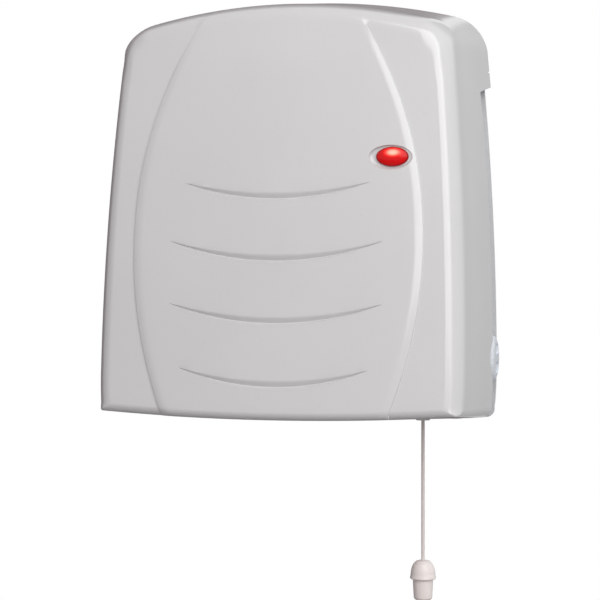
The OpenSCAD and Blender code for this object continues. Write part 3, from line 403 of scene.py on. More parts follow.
def skin_point(column, e, g, f):
    """(x, depth, z, rise) of the outer skin, without and with the shield's own height."""
    side = -1 if column < 0 else 1
    k = abs(column)
    side_in = wall_in(EDGE_SIDE_IN, EDGE_SIDE_DEEP, g, f)
    top_in = wall_in(EDGE_TOP_IN, EDGE_TOP_DEEP, g, f)
    low_depth = (BODY_D - EDGE_LOW) * g + EDGE_LOW * math.sin(f)
    low_in = EDGE_LOW * (1 - math.cos(f)) - UNDER_DROP * (1 - low_depth / BODY_D)
    r_top = max(CORNER_TOP - TIGHTEN_TOP * side_in, LEAST_TOP)
    r_low = max(CORNER_BOTTOM - TIGHTEN_LOW * side_in, LEAST_LOW)
    arch = TOP_ARCH * (1 - side_in / (2 * BODY_HALF)) ** 2
    z_top = BODY_H - top_in - arch - r_top
    z_low = low_in + r_low
    seam_low = low_in - SEAM_FOOT * BOTTOM_ARCH
    seam_top = BODY_H - top_in - SEAM_HEAD * arch
    a_top = half_at(z_top) - side_in
    a_low = half_at(z_low) - side_in
    x_top = across(k, seam_at(seam_top), a_top, r_top)
    x_low = across(k, seam_at(seam_low), a_low, r_low)
    turn = corner_turn(k)
    top = BODY_H - top_in - arch * (x_top / a_top) ** 2 - r_top * (1 - math.cos(turn))
    low = low_in - BOTTOM_ARCH * (1 - (x_low / a_low) ** 2) + r_low * (1 - math.cos(turn))
    z = low + e * (top - low)
    a = half_at(z_low + e * (z_top - z_low)) - side_in
    x = across(k, seam_at(seam_low + e * (seam_top - seam_low)), a, r_low + e * (r_top - r_low))
    rise = rise_at(min(x, seam_at(z)), z) if k <= SEAM_COL else 0
    d = side_depth(x, z)
    d_side = (d - EDGE_SIDE_DEEP) * g + EDGE_SIDE_DEEP * math.sin(f)
    end_deep = EDGE_TOP_DEEP if e > 0.5 else EDGE_LOW
    d_end = (d - end_deep) * g + end_deep * math.sin(f)
    w = math.cos(turn) ** 2 if e in (0, 1) else 0
    return side * x, w * d_end + (1 - w) * d_side, z, rise * g


print("columns:", 2 * HALF_COLS, "rows:", ROWS, "stages:", len(STAGES))

# %% [markdown]
# Now the modelling. A flat grid stands for the front. Its border is extruded once per stage,
# which adds the walls as rings. At this point a point's x, y and z are only its column, stage and
# row, and the shape function turns them into real places. The shield's own height is kept apart
# as a vertex group, because the wall gets its thickness first: a moulded cover is smooth inside.

# %% The outer skin
pick()
bpy.ops.mesh.primitive_grid_add(
    x_subdivisions=2 * HALF_COLS, y_subdivisions=ROWS, size=2,
    location=(0, 0, 0), rotation=(math.pi / 2, 0, 0))
cover = newest("front_cover_shell")
bpy.ops.object.transform_apply()
edit(cover, "EDGE", lambda e: e.is_boundary)
for _ in STAGES[:-1]:
    extrude(0, 1, 0)
done()

shield_group = cover.vertex_groups.new(name="shield")
for v in cover.data.vertices:
    g, f = STAGES[len(STAGES) - 1 - round(v.co.y)]
    column, row = round(v.co.x * HALF_COLS), round((v.co.z + 1) / 2 * ROWS)
    x, depth, z, rise = skin_point(column, row / ROWS, g, f)
    v.co = to_row(x, depth, z)
    if rise > 0:
        shield_group.add([v.index], rise / SHIELD_RISE, "REPLACE")
print("skin faces:", len(cover.data.polygons))

# %% [markdown]
# The skin's grid comes together at the two upper corners, and three rows of faces that meet there
# leave a small dent. Real tooling has none, so the points round each meeting place are relaxed.

# %% Relax the upper corners
RELAX_REACH = 15 * MM
for s in (-1, 1):
    x, depth, z, _ = skin_point(s * HALF_COLS, 1, 1, math.pi / 2)
    corner = to_row(x, depth, z)
    relaxed = edit(cover, "VERT", lambda v: (v.co - corner).length < RELAX_REACH)
    bpy.ops.mesh.vertices_smooth(factor=0.5, repeat=10)
    done()
print("points relaxed at each corner:", relaxed)

# %% [markdown]
# On both sides the rim stands 28 mm off the wall, down to the underside, which lets air in behind
# it. The skin is cut along planes with bisect, and the faces between them are deleted. This gives
# a cleaner edge than a boolean would, and a clean edge can be rounded, so it catches the thin
# line of light that the photograph shows down the right side.

# %% Cut the rim back on both sides
RIM_BACK, GAP_TOP, GAP_SLANT = 28, BODY_H - 65, 5
SLACK_IN, SLACK_AHEAD = 12, 25
gap_corner = to_row(0, RIM_BACK, GAP_TOP)
gap_wall = to_row(0, 0, GAP_TOP + GAP_SLANT)
gap_slope = (gap_wall - gap_corner).normalized()
gap_normal = Vector((0, -gap_slope.z, gap_slope.y))
SIDE_X = (BODY_HALF - 20) * MM


def rear_side(face):
    middle = face.calc_center_median()
    return abs(middle.x) > SIDE_X - SLACK_IN * MM and middle.y > -(RIM_BACK + SLACK_AHEAD) * MM


def in_gap(face):
    middle = face.calc_center_median()
    below_top = (middle - gap_corner).dot(gap_normal) < 0
    return abs(middle.x) > SIDE_X and middle.y > -RIM_BACK * MM and below_top


for point, normal in (
    (to_row(0, RIM_BACK, 0), (0, 1, 0)),
    (gap_corner, gap_normal),
    ((-SIDE_X, 0, 0), (1, 0, 0)),
    ((SIDE_X, 0, 0), (1, 0, 0)),
):
    edit(cover, "FACE", rear_side)
    bpy.ops.mesh.bisect(plane_co=point, plane_no=normal, use_fill=False, threshold=1e-7)
    done()
removed = edit(cover, "FACE", in_gap)
bpy.ops.mesh.delete(type="FACE")
done()
print("faces cut away at the rim:", removed)

# %% [markdown]
# Solidify gives the wall its 2.6 mm, inwards, and closes the rim, whose inner edge is held on the
# wall's plane. The rim's faces are marked with a second material number so that they can be found
# again. Then Displace lifts the shield on the outer skin alone, and the rim's two edges are
# rounded with a small bevel.

# %% Thickness, shield and rounded rim
RIM_ROUND = 0.45 * MM
outer_count = len(cover.data.vertices)
modify(cover, "SOLIDIFY", thickness=COVER_WALL * MM, offset=-1, use_quality_normals=True,
       use_rim=True, material_offset_rim=1)
inner_points = list(range(outer_count, len(cover.data.vertices)))
for point in cover.data.vertices[outer_count:]:
    point.co.y = min(point.co.y, 0)
cover.vertex_groups["shield"].remove(inner_points)
modify(cover, "DISPLACE", direction="Y", mid_level=0, strength=-SHIELD_RISE * MM,
       vertex_group="shield")
edit(cover, "FACE", lambda f: f.material_index == 1)
bpy.ops.mesh.region_to_loop()
bpy.ops.mesh.bevel(offset=RIM_ROUND, segments=2, affect="EDGES")
done()
print("inner points:", len(inner_points), "shell faces:", len(cover.data.polygons))

# %% [markdown]
# Four curved grooves decorate the shield. Each is a crescent between two arcs that share their
# tips. Its floor sinks slowly from the upper arc, so it looks dark from the front, and comes back
# quickly at the lower one, which makes the thin bright lip. A grid is bent into that floor and
# extruded forwards into a solid, and a boolean takes it out of the cover.

# %% Groove cutters
GROOVE_Z = 28.4
# Level, half width and sag of each groove
GROOVES = [(0, 62, 7), (41.2, 70, 8), (80.8, 70, 8), (118.2, 61, 5.8)]
GROOVE_FAT, GROOVE_DEEP = 5.6, 1.9
GROOVE_TIP, TIP_FAT, GROOVE_OUT, GROOVE_REACH = 0.992, 0.05, 0.03, 4
LIP_SHARE, SINK_CURVE, LIP_CURVE = 0.2, 1.7, 1.5
GROOVE_COLS, GROOVE_ROWS = 56, 14


def arc_drop(x, half, sag):
    """Height of an arc below the level of its tips, as a negative number."""
    r = (half * half + sag * sag) / (2 * sag)
    return r - sag - math.sqrt(r * r - x * x)


def groove_depth(t):
    """Share of the full depth, t running from the upper arc to the lower one."""
    if t < 1 - LIP_SHARE:
        return (t / (1 - LIP_SHARE)) ** SINK_CURVE
    return 1 - ((t - 1 + LIP_SHARE) / LIP_SHARE) ** LIP_CURVE


def groove_cutter(level, half, sag):
    pick()
    bpy.ops.mesh.primitive_grid_add(x_subdivisions=GROOVE_COLS, y_subdivisions=GROOVE_ROWS, size=2)
    piece = newest("groove_cutter")
    for v in piece.data.vertices:
        x = half * GROOVE_TIP * math.sin(math.pi / 2 * v.co.x)
        t = (1 - v.co.y) / 2
        upper = GROOVE_Z + level + arc_drop(x, half, sag)
        fat = max(upper - (GROOVE_Z + level + arc_drop(x, half, sag + GROOVE_FAT)), TIP_FAT)
        z = upper - t * fat
        sink = GROOVE_DEEP * math.sqrt(fat / GROOVE_FAT) * groove_depth(t) - GROOVE_OUT
        v.co = to_row(x, depth_at(x, z) - sink, z)
    edit(piece)
    extrude(0, -GROOVE_REACH * MM, 0)
    done()
    outward(piece)
    return piece


cutters = [groove_cutter(*groove) for groove in GROOVES]
print("groove cutters:", len(cutters))

# %% [markdown]
# The other cuts are simple solids with rounded corners: the outlet in the underside, a nick in
# the rim above the right gap, the notch round the knob, the cord guide's hole, and the recesses
# of the two fixing screws. A cube or a cylinder is placed at its real size, and a cube's edges
# are bevelled.

# %% Box and round cutters
NEON_Z = 162.4
NEON_X = seam_at(NEON_Z) - 15
LENS_W, LENS_H = 22.1, 13.2
DISH_W, DISH_H, DISH_DEEP = 28.2, 15.6, 1.7
DISH_X, DISH_Z = NEON_X - 0.6, NEON_Z
KNOB_Y, KNOB_Z, KNOB_D, KNOB_GAP = -18.2, 31, 30.6, 0.6
OUTLET_HALF, OUTLET_REAR, OUTLET_FRONT = 64, 17, 81
NICK_DEEP, NICK_LOW, NICK_HIGH = 3, GAP_TOP + 14.6, GAP_TOP + 15.8
GUIDE_R = 4.8
SCREW_X, SCREW_Y, SCREW_SEAT = BODY_HALF - 30, -12, -8.2
WELL_R, BOSS_R, SCREW_R = 4.2, 6, 2.2
LENS_LIP = 2
FAR_BELOW = -30
HOOK_X, HOOK_W, HOOK_REAR, HOOK_T = 0.46 * BODY_HALF, 12, 14, 3
HOOK_LOW, HOOK_UNDER = BODY_H - 21, 1.6
HOOK_HIGH = BODY_H - TOP_ARCH * (HOOK_X / half_at(BODY_H)) ** 2 - COVER_WALL / 2 - HOOK_UNDER


def box_cutter(x0, x1, d0, d1, z0, z1, axis="Z", corner=3.0):
    """A box from wall depth d0 to d1, with the edges along one axis rounded."""
    pick()
    middle = to_row((x0 + x1) / 2, (d0 + d1) / 2, (z0 + z1) / 2)
    bpy.ops.mesh.primitive_cube_add(size=1, location=middle)
    piece = newest("box_cutter")
    piece.scale = ((x1 - x0) * MM, (d1 - d0) * MM, (z1 - z0) * MM)
    bpy.ops.object.transform_apply()
    number = "XYZ".index(axis)
    edit(piece, "EDGE", lambda e: abs((e.verts[0].co - e.verts[1].co).normalized()[number]) > 0.9)
    bpy.ops.mesh.bevel(offset=corner * MM, segments=6, affect="EDGES")
    done()
    return piece


def round_cutter(x, y, z, radius, length, axis="Z", sides=48):
    """A cylinder that starts at the point and runs along an axis."""
    turns = {"X": (0, math.pi / 2, 0), "Y": (math.pi / 2, 0, 0), "Z": (0, 0, 0)}
    shift = {"X": (length / 2, 0, 0), "Y": (0, -length / 2, 0), "Z": (0, 0, length / 2)}[axis]
    pick()
    bpy.ops.mesh.primitive_cylinder_add(
        vertices=sides, radius=radius * MM, depth=length * MM, rotation=turns[axis],
        location=((x + shift[0]) * MM, (y + shift[1]) * MM, (z + shift[2] - MOUNT_Z) * MM))
    piece = newest("round_cutter")
    bpy.ops.object.transform_apply()
    return piece


cutters += [
    box_cutter(-OUTLET_HALF, OUTLET_HALF, OUTLET_REAR, OUTLET_FRONT, FAR_BELOW, 8),
    box_cutter(SIDE_X / MM, BODY_HALF + 10, -1, NICK_DEEP, NICK_LOW, NICK_HIGH, "X", 0.2),
    round_cutter(SIDE_X / MM, KNOB_Y, KNOB_Z, KNOB_D / 2 + KNOB_GAP, 30, "X", 96),
    round_cutter(CORD_X / MM, CORD_Y / MM, FAR_BELOW, GUIDE_R, 36),
]
for s in (-1, 1):
    cutters.append(round_cutter(s * SCREW_X, SCREW_Y, FAR_BELOW, WELL_R, SCREW_SEAT - FAR_BELOW))
print("cutters:", len(cutters))

# %% [markdown]
# The dish is a shallow oval pan pressed into the shield. Its floor is flat, so it stays as grey
# as the field, and only its low wall shows: dark above the lens, with a glint at the left. A
# cylinder is squeezed to the oval, opens a little towards the front, and its rear rim is rounded
# with a bevel.

# %% The lens dish
DISH_SLOPE, DISH_ROUND, DISH_REACH, DISH_SINK = 0.55, 0.7, 8, 0.05


def dish_cutter():
    floor_depth = depth_at(NEON_X, NEON_Z) - DISH_DEEP - DISH_SINK
    pick()
    bpy.ops.mesh.primitive_cylinder_add(
        vertices=96, radius=1, depth=1, rotation=(math.pi / 2, 0, 0))
    piece = newest("dish_cutter")
    bpy.ops.object.transform_apply()
    for v in piece.data.vertices:
        ahead = 0 if v.co.y > 0 else DISH_REACH
        wider = (ahead - DISH_DEEP) * DISH_SLOPE
        v.co = to_row(DISH_X + v.co.x * (DISH_W / 2 + wider), floor_depth + ahead,
                      DISH_Z + v.co.z * (DISH_H / 2 + wider))
    edit(piece, "EDGE", lambda e: all(v.co.y > -(floor_depth + 1) * MM for v in e.verts))
    bpy.ops.mesh.bevel(offset=DISH_ROUND * MM, segments=4, affect="EDGES")
    done()
    outward(piece)
    return piece


cutters.append(dish_cutter())
print("dish floor in mm from the wall:", round(depth_at(NEON_X, NEON_Z) - DISH_DEEP, 2))

# %% [markdown]
# Before anything is cut, the cover gets what a real one has inside: a boss for each fixing screw,
# and two hooks below the top edge that drop into slots of the back plate. Then all the cutters are
# joined and taken out at once. The screws' own holes and the opening behind the lens run into the
# wells and the dish, and cutters that overlap don't make one clean solid, so these are cut last.

# %% Take the cutters out of the cover
def join(name, pieces):
    pick(*pieces)
    bpy.ops.object.join()
    return newest(name)


def subtract(piece, tool):
    modify(piece, "BOOLEAN", operation="DIFFERENCE", object=tool, solver="EXACT")
    bpy.data.objects.remove(tool)


added = [round_cutter(s * SCREW_X, SCREW_Y, SCREW_SEAT - 1, BOSS_R, 4) for s in (-1, 1)]
added += [
    box_cutter(s * HOOK_X - HOOK_W / 2, s * HOOK_X + HOOK_W / 2, HOOK_REAR, HOOK_REAR + HOOK_T,
               HOOK_LOW, HOOK_HIGH, "Y", 1)
    for s in (-1, 1)]
added = join("bosses_and_hooks", added)
modify(cover, "BOOLEAN", operation="UNION", object=added, solver="EXACT")
bpy.data.objects.remove(added)
subtract(cover, join("cover_cutters", cutters))
through = [round_cutter(s * SCREW_X, SCREW_Y, FAR_BELOW, SCREW_R, 40) for s in (-1, 1)]
lens_hole = round_cutter(NEON_X, -80, NEON_Z, (LENS_W - LENS_LIP) / 2, 60, "Y")
neon_level = (NEON_Z - MOUNT_Z) * MM
for v in lens_hole.data.vertices:
    v.co.z = (v.co.z - neon_level) * (LENS_H - LENS_LIP) / (LENS_W - LENS_LIP) + neon_level
subtract(cover, join("cover_holes", through + [lens_hole]))
for polygon in cover.data.polygons:
    polygon.material_index = 0
cover.vertex_groups.clear()
settle(cover, 32)
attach(cover, "chassis")
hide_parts("front_cover")
print("cover faces:", len(cover.data.polygons))

# %% [markdown]
# The neon lens is an oval dome of clear red plastic, a little proud of the dish. A ball is
# flattened to its three real sizes, its rear half is cut off with bisect, and the cut edge is
# extruded backwards into the shank that clips into the cover.

# %% Neon lens
LENS_PROUD, LENS_SQUARE = 3.6, 0.06
SHANK_IN, SHANK_DEEP = 1.3, 4.5
lens_base = depth_at(NEON_X, NEON_Z) - DISH_DEEP
pick()
bpy.ops.mesh.primitive_uv_sphere_add(
    segments=96, ring_count=64, radius=1, rotation=(math.pi / 2, 0, 0))
lens = newest("neon_lens_dome")
bpy.ops.object.transform_apply()
for v in lens.data.vertices:
    round_edge = 1 - LENS_SQUARE * (1 - abs(v.co.y)) ** 2
    v.co = to_row(NEON_X + v.co.x * LENS_W / 2 * round_edge, lens_base - v.co.y * LENS_PROUD,
                  NEON_Z + v.co.z * LENS_H / 2 * round_edge)
edit(lens)
bpy.ops.mesh.bisect(
    plane_co=to_row(0, lens_base, 0), plane_no=(0, 1, 0), clear_outer=True, use_fill=True)
bpy.ops.mesh.select_all(action="DESELECT")
done()
edit(lens, "FACE", lambda f: f.normal.y > 0.9 and len(f.verts) > 20)
bpy.ops.mesh.inset(thickness=SHANK_IN * MM)
extrude(0, SHANK_DEEP * MM, 0)
done()
outward(lens)
settle(lens, 40)
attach(lens, "chassis")
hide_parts("neon_lens")
print("lens faces:", len(lens.data.polygons))

# %% [markdown]
# The thermostat knob is a low dome at the lower right side, with fine flutes round its rim and a
# bar across its face for finger and thumb. Only its edge shows from the front. It is turned on
# the same lathe as the pull, upright, and its rim points are drawn in for the flutes. Then it is
# tipped onto the side wall, and two rounded hollows leave the bar standing.

# %% Thermostat knob
KNOB_IN, KNOB_T = BODY_HALF - 5.6, 4.2
KNOB_EDGE, KNOB_ROUND = 1.0, 6.5
KNOB_HUB, KNOB_HUB_DEEP = 5.4, 2.4
FLUTES, FLUTE_DEEP, FLUTE_IN, FLUTE_FADE = 44, 0.28, 2.2, 1.6
HOLLOW_AT, HOLLOW_Y, HOLLOW_Z, HOLLOW_DEEP = 6.2, 7, 3.6, 1.2
DOME_STEPS = 12
knob_r = KNOB_D / 2

knob_rings = [(2.0, -KNOB_HUB_DEEP), (KNOB_HUB, -KNOB_HUB_DEEP), (KNOB_HUB, 0),
              (knob_r - 0.3, 0), (knob_r, 0.3)]
knob_rings += [
    (knob_r - KNOB_ROUND * (1 - math.cos(t)), KNOB_EDGE + (KNOB_T - KNOB_EDGE) * math.sin(t))
    for t in (math.pi / 2 * i / DOME_STEPS for i in range(DOME_STEPS + 1))]
knob_rings += [(6, KNOB_T), (3, KNOB_T)]
knob = turned("thermostat_knob_dome", (0, 0, 0), knob_rings, FLUTES * 8)
for v in knob.data.vertices:
    radius = math.hypot(v.co.x, v.co.y)
    share = min(max((radius / MM - knob_r + FLUTE_IN) / FLUTE_FADE, 0), 1)
    flute = FLUTE_DEEP * MM * share * (0.5 + 0.5 * math.cos(FLUTES * math.atan2(v.co.y, v.co.x)))
    v.co.x -= flute * v.co.x / max(radius, MM)
    v.co.y -= flute * v.co.y / max(radius, MM)
pick(knob)
knob.rotation_euler = (0, math.pi / 2, 0)
knob.location = (KNOB_IN * MM, KNOB_Y * MM, (KNOB_Z - MOUNT_Z) * MM)
bpy.ops.object.transform_apply()
knob_face = KNOB_IN + KNOB_T
hollows = [
    box_cutter(knob_face - HOLLOW_DEEP, knob_face + 2, -KNOB_Y - HOLLOW_Y, -KNOB_Y + HOLLOW_Y,
               level - HOLLOW_Z, level + HOLLOW_Z, "X", 2.2)
    for level in (KNOB_Z - HOLLOW_AT, KNOB_Z + HOLLOW_AT)]
subtract(knob, join("knob_hollows", hollows))
settle(knob, 32)
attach(knob, "knob")
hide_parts("thermostat_knob")
print("knob faces:", len(knob.data.polygons))

# %% [markdown]
# Finishes come next. Every material is built from nodes on Object coordinates, so its pattern
# stays with the piece in every view. Short helpers add a node with its inputs, a noise, a ramp
# or a bump, and each finish then sets its own numbers. Numbers that are the same all over the
# surface are set straight on the shader.

# %% Start of a finish
def feed(tree, value, socket):
    """Links a node's output to a socket, or sets the socket to a plain value."""
    if isinstance(value, bpy.types.NodeSocket):
        tree.links.new(value, socket)
    else:
        socket.default_value = value


def add(tree, kind, **inputs):
    """A new shader node, with some of its inputs set or linked."""
    node = tree.nodes.new("ShaderNode" + kind)
    for name, value in inputs.items():
        feed(tree, value, node.inputs[name.replace("_", " ")])
    return node


def new_finish(name, color, roughness, metallic=0.0, specular=0.5):
    material = bpy.data.materials.new(name)
    material.use_nodes = True
    tree = material.node_tree
    shader = tree.nodes["Principled BSDF"]
    shader.inputs["Base Color"].default_value = (*color, 1)
    shader.inputs["Roughness"].default_value = roughness
    shader.inputs["Metallic"].default_value = metallic
    shader.inputs["Specular IOR Level"].default_value = specular
    return material, tree, shader, add(tree, "TexCoord").outputs["Object"]


def noise(tree, place, scale, detail=3.0, rough=0.5):
    """A noise texture; scale is the number of grains in a metre."""
    texture = add(tree, "TexNoise", Vector=place, Scale=scale, Detail=detail, Roughness=rough)
    return texture.outputs["Fac"]


def ramp(tree, value, stops):
    """A ramp with (position, colour) stops, where a plain number stands for a grey."""
    node = add(tree, "ValToRGB", Fac=value)
    while len(node.color_ramp.elements) < len(stops):
        node.color_ramp.elements.new(0.5)
    for element, (position, color) in zip(node.color_ramp.elements, stops):
        element.position = position
        element.color = (*color, 1) if isinstance(color, tuple) else (color, color, color, 1)
    return node.outputs["Color"]


def vary(tree, shader, socket, value, low, high, start=0.0, end=1.0):
    """Lets a socket of the shader run from low to high as the value goes from start to end."""
    feed(tree, ramp(tree, value, [(start, low), (end, high)]), shader.inputs[socket])


def bump(tree, shader, height, strength, distance):
    node = add(tree, "Bump", Strength=strength, Distance=distance, Height=height)
    feed(tree, node.outputs["Normal"], shader.inputs["Normal"])


def shade(color, factor):
    return tuple(min(c * factor, 1) for c in color)


print("finish helpers ready")

# %% [markdown]
# Moulded plastic isn't perfectly even. It has a fine satin grain from the tool, and its colour
# drifts by a percent or two. The same recipe, with other numbers, gives the cover, the grille,
# the knob, the pull and the small white and black parts. Baked paint has the same look, so the
# back plate uses it.

# %% Moulded plastic
DRIFT, SPECKS_PER_M = 0.012, 95


def moulded_plastic(name, color, roughness, grain=2600, grain_deep=0.00002, specks=0.0,
                    specular=0.5):
    material, tree, shader, place = new_finish(name, color, roughness, specular=specular)
    slow = noise(tree, place, 14, 2)
    tone = ramp(tree, slow, [
        (0.15, shade(color, 1 - 2 * DRIFT)), (0.85, shade(color, 1 + 2 * DRIFT))])
    if specks:
        dots = add(tree, "TexVoronoi", Vector=place, Scale=SPECKS_PER_M)
        mask = ramp(tree, dots.outputs["Distance"], [(0.035, 1 - specks), (0.06, 1)])
        blend = add(tree, "Mix")
        blend.data_type = "RGBA"
        blend.blend_type = "MULTIPLY"
        for socket, value in (("Factor", 1), ("A", tone), ("B", mask)):
            feed(tree, value, blend.inputs[socket])
        tone = blend.outputs["Result"]
    feed(tree, tone, shader.inputs["Base Color"])
    bump(tree, shader, noise(tree, place, grain, 2), 0.35, grain_deep)
    vary(tree, shader, "Roughness", slow, roughness - 0.04, roughness + 0.04, 0.15, 0.85)
    return material


finishes = {
    "cover_plastic": moulded_plastic(
        "cover plastic", (0.63, 0.63, 0.63), 0.19, grain_deep=0.00001, specks=0.06, specular=0.7),
    "painted_steel": moulded_plastic("painted steel", (0.55, 0.56, 0.57), 0.4, grain=1400),
    "grille_plastic": moulded_plastic("grille plastic", (0.56, 0.57, 0.58), 0.45),
    "knob_plastic": moulded_plastic("knob plastic", (0.67, 0.71, 0.75), 0.35),
    "cream_plastic": moulded_plastic("cream plastic", (0.80, 0.745, 0.715), 0.42),
    "white_plastic": moulded_plastic("white plastic", (0.80, 0.80, 0.77), 0.45),
    "black_plastic": moulded_plastic("black plastic", (0.022, 0.022, 0.025), 0.5),
}
print("plastics:", len(finishes))

# %% [markdown]
# The sheets of the air housing and the brackets are hot-dip galvanised steel: zinc crystals a few
# millimetres across, each a slightly different grey. Voronoi cells are that pattern. The
# aluminised heat shield and the aluminium wheel were rolled, which leaves fine lines that run one
# way, so their noise is stretched. Turned steel and brass get such lines along other axes.

# %% Metals
CRYSTALS_PER_M, LINES_PER_M, STAIN = 190, 2400, 0.06


def galvanised_steel(name, color, roughness):
    material, tree, shader, place = new_finish(name, color, roughness, 1.0)
    cells = add(tree, "TexVoronoi", Vector=place, Scale=CRYSTALS_PER_M)
    grey = add(tree, "SeparateColor", Color=cells.outputs["Color"])
    vary(tree, shader, "Base Color", grey.outputs["Red"], shade(color, 0.84), shade(color, 1.12))
    vary(tree, shader, "Roughness", grey.outputs["Green"], roughness - 0.07, roughness + 0.1)
    bump(tree, shader, noise(tree, place, 900), 0.2, 0.00002)
    return material


def drawn_metal(name, color, roughness, along=(0.03, 1, 1)):
    """Metal with fine lines along one axis."""
    material, tree, shader, place = new_finish(name, color, roughness, 1.0)
    stretch = add(tree, "Mapping", Vector=place, Scale=along)
    streaks = noise(tree, stretch.outputs["Vector"], LINES_PER_M, 2)
    vary(tree, shader, "Base Color", noise(tree, place, 60, 4),
         shade(color, 1 - STAIN), shade(color, 1 + STAIN), 0.3, 0.7)
    vary(tree, shader, "Roughness", streaks, roughness - 0.05, roughness + 0.08, 0.25, 0.75)
    bump(tree, shader, streaks, 0.25, 0.00001)
    return material


finishes["galvanised"] = galvanised_steel("galvanised steel", (0.56, 0.575, 0.585), 0.38)
finishes["bright_sheet"] = drawn_metal("bright aluminised sheet", (0.80, 0.81, 0.82), 0.22)
finishes["fan_metal"] = drawn_metal("fan wheel aluminium", (0.62, 0.63, 0.64), 0.34)
finishes["steel"] = drawn_metal("bright zinc steel", (0.62, 0.62, 0.61), 0.28, (1, 1, 0.05))
finishes["brass"] = drawn_metal("turned brass", (0.72, 0.55, 0.25), 0.26, (1, 0.1, 1))
print("finishes so far:", len(finishes))

# %% [markdown]
# Inside are a few finishes that a repairer would know at a glance: the motor's stack of thin iron
# sheets, its varnished copper winding, the mottled mica boards and the oxidised resistance wire.
# Bands across an axis make the sheets and the windings, and noise makes the mica's flakes and the
# wire's stains.

# %% Motor and element finishes
def banded(name, color, dark, roughness, metallic, axis, bands, deep):
    """Thin bands across one axis, such as stacked sheets or wound wire."""
    material, tree, shader, place = new_finish(name, color, roughness, metallic)
    wave = add(tree, "TexWave", Vector=place, Scale=bands, Distortion=0.4)
    wave.wave_type = "BANDS"
    wave.bands_direction = axis
    vary(tree, shader, "Base Color", wave.outputs["Fac"], dark, color, 0.1, 0.6)
    bump(tree, shader, wave.outputs["Fac"], 0.6, deep)
    return material


def mottled(name, light, dark, roughness, flakes, metallic=0.0):
    material, tree, shader, place = new_finish(name, light, roughness, metallic)
    vary(tree, shader, "Base Color", noise(tree, place, flakes, 6, 0.65), dark, light, 0.32, 0.62)
    bump(tree, shader, noise(tree, place, flakes * 6), 0.3, 0.00003)
    return material


finishes["lamination"] = banded(
    "iron stack", (0.33, 0.34, 0.35), (0.10, 0.10, 0.11), 0.5, 0.9, "X", 320, 0.00006)
finishes["copper"] = banded(
    "varnished winding", (0.55, 0.22, 0.09), (0.20, 0.06, 0.02), 0.3, 0.8, "X", 420, 0.0001)
finishes["mica"] = mottled("mica board", (0.60, 0.50, 0.36), (0.40, 0.30, 0.20), 0.55, 260)
finishes["wire"] = mottled(
    "resistance wire", (0.40, 0.37, 0.34), (0.16, 0.14, 0.15), 0.45, 700, 0.9)
print("finishes so far:", len(finishes))

# %% [markdown]
# The lens's light is painted on as emission. The small neon lamp behind it shows as a painted
# peach glow and highlight high in the dome. The rest of the lens is a deep red that darkens to a
# painted shade at its rim. The glow and the rim are both measured as a distance from a point on
# the lens, so they belong to the lens and not to the view.

# %% Red lens with painted glow and rim shade, and lamp
def spot(tree, place, centre, reach):
    """Distance from a centre, 1 at the given reach along each axis."""
    move = add(tree, "Mapping", Vector=place, Location=centre, Scale=reach)
    move.vector_type = "TEXTURE"
    distance = add(tree, "VectorMath", Vector=move.outputs["Vector"])
    distance.operation = "LENGTH"
    return distance.outputs["Value"]


# Painted glow and highlight as emission, and painted shade at the rim.
def painted_glow_lens(name, red, glow, painted_glow_at, painted_glow_reach, rim_shade_at, rim_shade_reach):
    material, tree, shader, place = new_finish(name, red, 0.12, specular=0.2)
    # Painted shade: the red darkens towards the rim, where the dome turns steep.
    body = ramp(tree, spot(tree, place, rim_shade_at, rim_shade_reach), [
        (0.0, red), (0.80, shade(red, 0.92)), (0.92, shade(red, 0.4)), (1.0, shade(red, 0.2))])
    feed(tree, body, shader.inputs["Base Color"])
    # Painted glow and highlight: the neon lamp's light through the lens, as emission.
    light = ramp(tree, spot(tree, place, painted_glow_at, painted_glow_reach), [
        (0.0, glow), (0.28, shade(glow, 0.8)), (0.6, (0.7, 0.08, 0.05)),
        (0.8, shade(red, 0.25)), (1.0, shade(red, 0.06))])
    feed(tree, light, shader.inputs["Emission Color"])
    shader.inputs["Emission Strength"].default_value = 0.85
    return material


def lamp_glass(name, color):
    material, tree, shader, place = new_finish(name, color, 0.08)
    shader.inputs["Emission Strength"].default_value = 1.5
    glow = ramp(tree, noise(tree, place, 400), [(0.3, (0.9, 0.18, 0.04)), (0.7, (1.0, 0.4, 0.12))])
    feed(tree, glow, shader.inputs["Emission Color"])
    feed(tree, glow, shader.inputs["Base Color"])
    return material


# The points from which the painted rim shade and the painted glow and highlight are measured.
lens_middle = to_row(NEON_X, lens_base, NEON_Z)
painted_glow_point = to_row(NEON_X + 0.8, lens_base + LENS_PROUD, NEON_Z + 2.6)
finishes["red_lens"] = painted_glow_lens(
    "red lens with painted glow", (0.74, 0.005, 0.007), (1.0, 0.82, 0.60),
    painted_glow_point, (7.8 * MM, 8 * MM, 3.8 * MM),
    lens_middle, (LENS_W / 2 * MM, 30 * MM, LENS_H / 2 * MM))
finishes["lamp_glass"] = lamp_glass("glowing neon lamp", (0.9, 0.4, 0.2))
print("lens glow at:", [round(c / MM, 1) for c in painted_glow_point])

# %% [markdown]
# The cord is warm white nylon. Its braid is already in the mesh, so the finish adds only the fine
# fibres of each strand, some a shade darker than others, and a soft sheen.

# %% Cord fibre
def cord_fibre(name, color):
    material, tree, shader, place = new_finish(name, color, 0.62)
    stretch = add(tree, "Mapping", Vector=place, Scale=(1, 1, 0.18))
    fibres = noise(tree, stretch.outputs["Vector"], 9000, 3)
    vary(tree, shader, "Base Color", fibres, shade(color, 0.86), shade(color, 1.04), 0.3, 0.7)
    bump(tree, shader, fibres, 0.5, 0.00004)
    shader.inputs["Sheen Weight"].default_value = 0.2
    return material


finishes["cord"] = cord_fibre("braided nylon", (0.74, 0.68, 0.65))
print("finishes:", len(finishes))
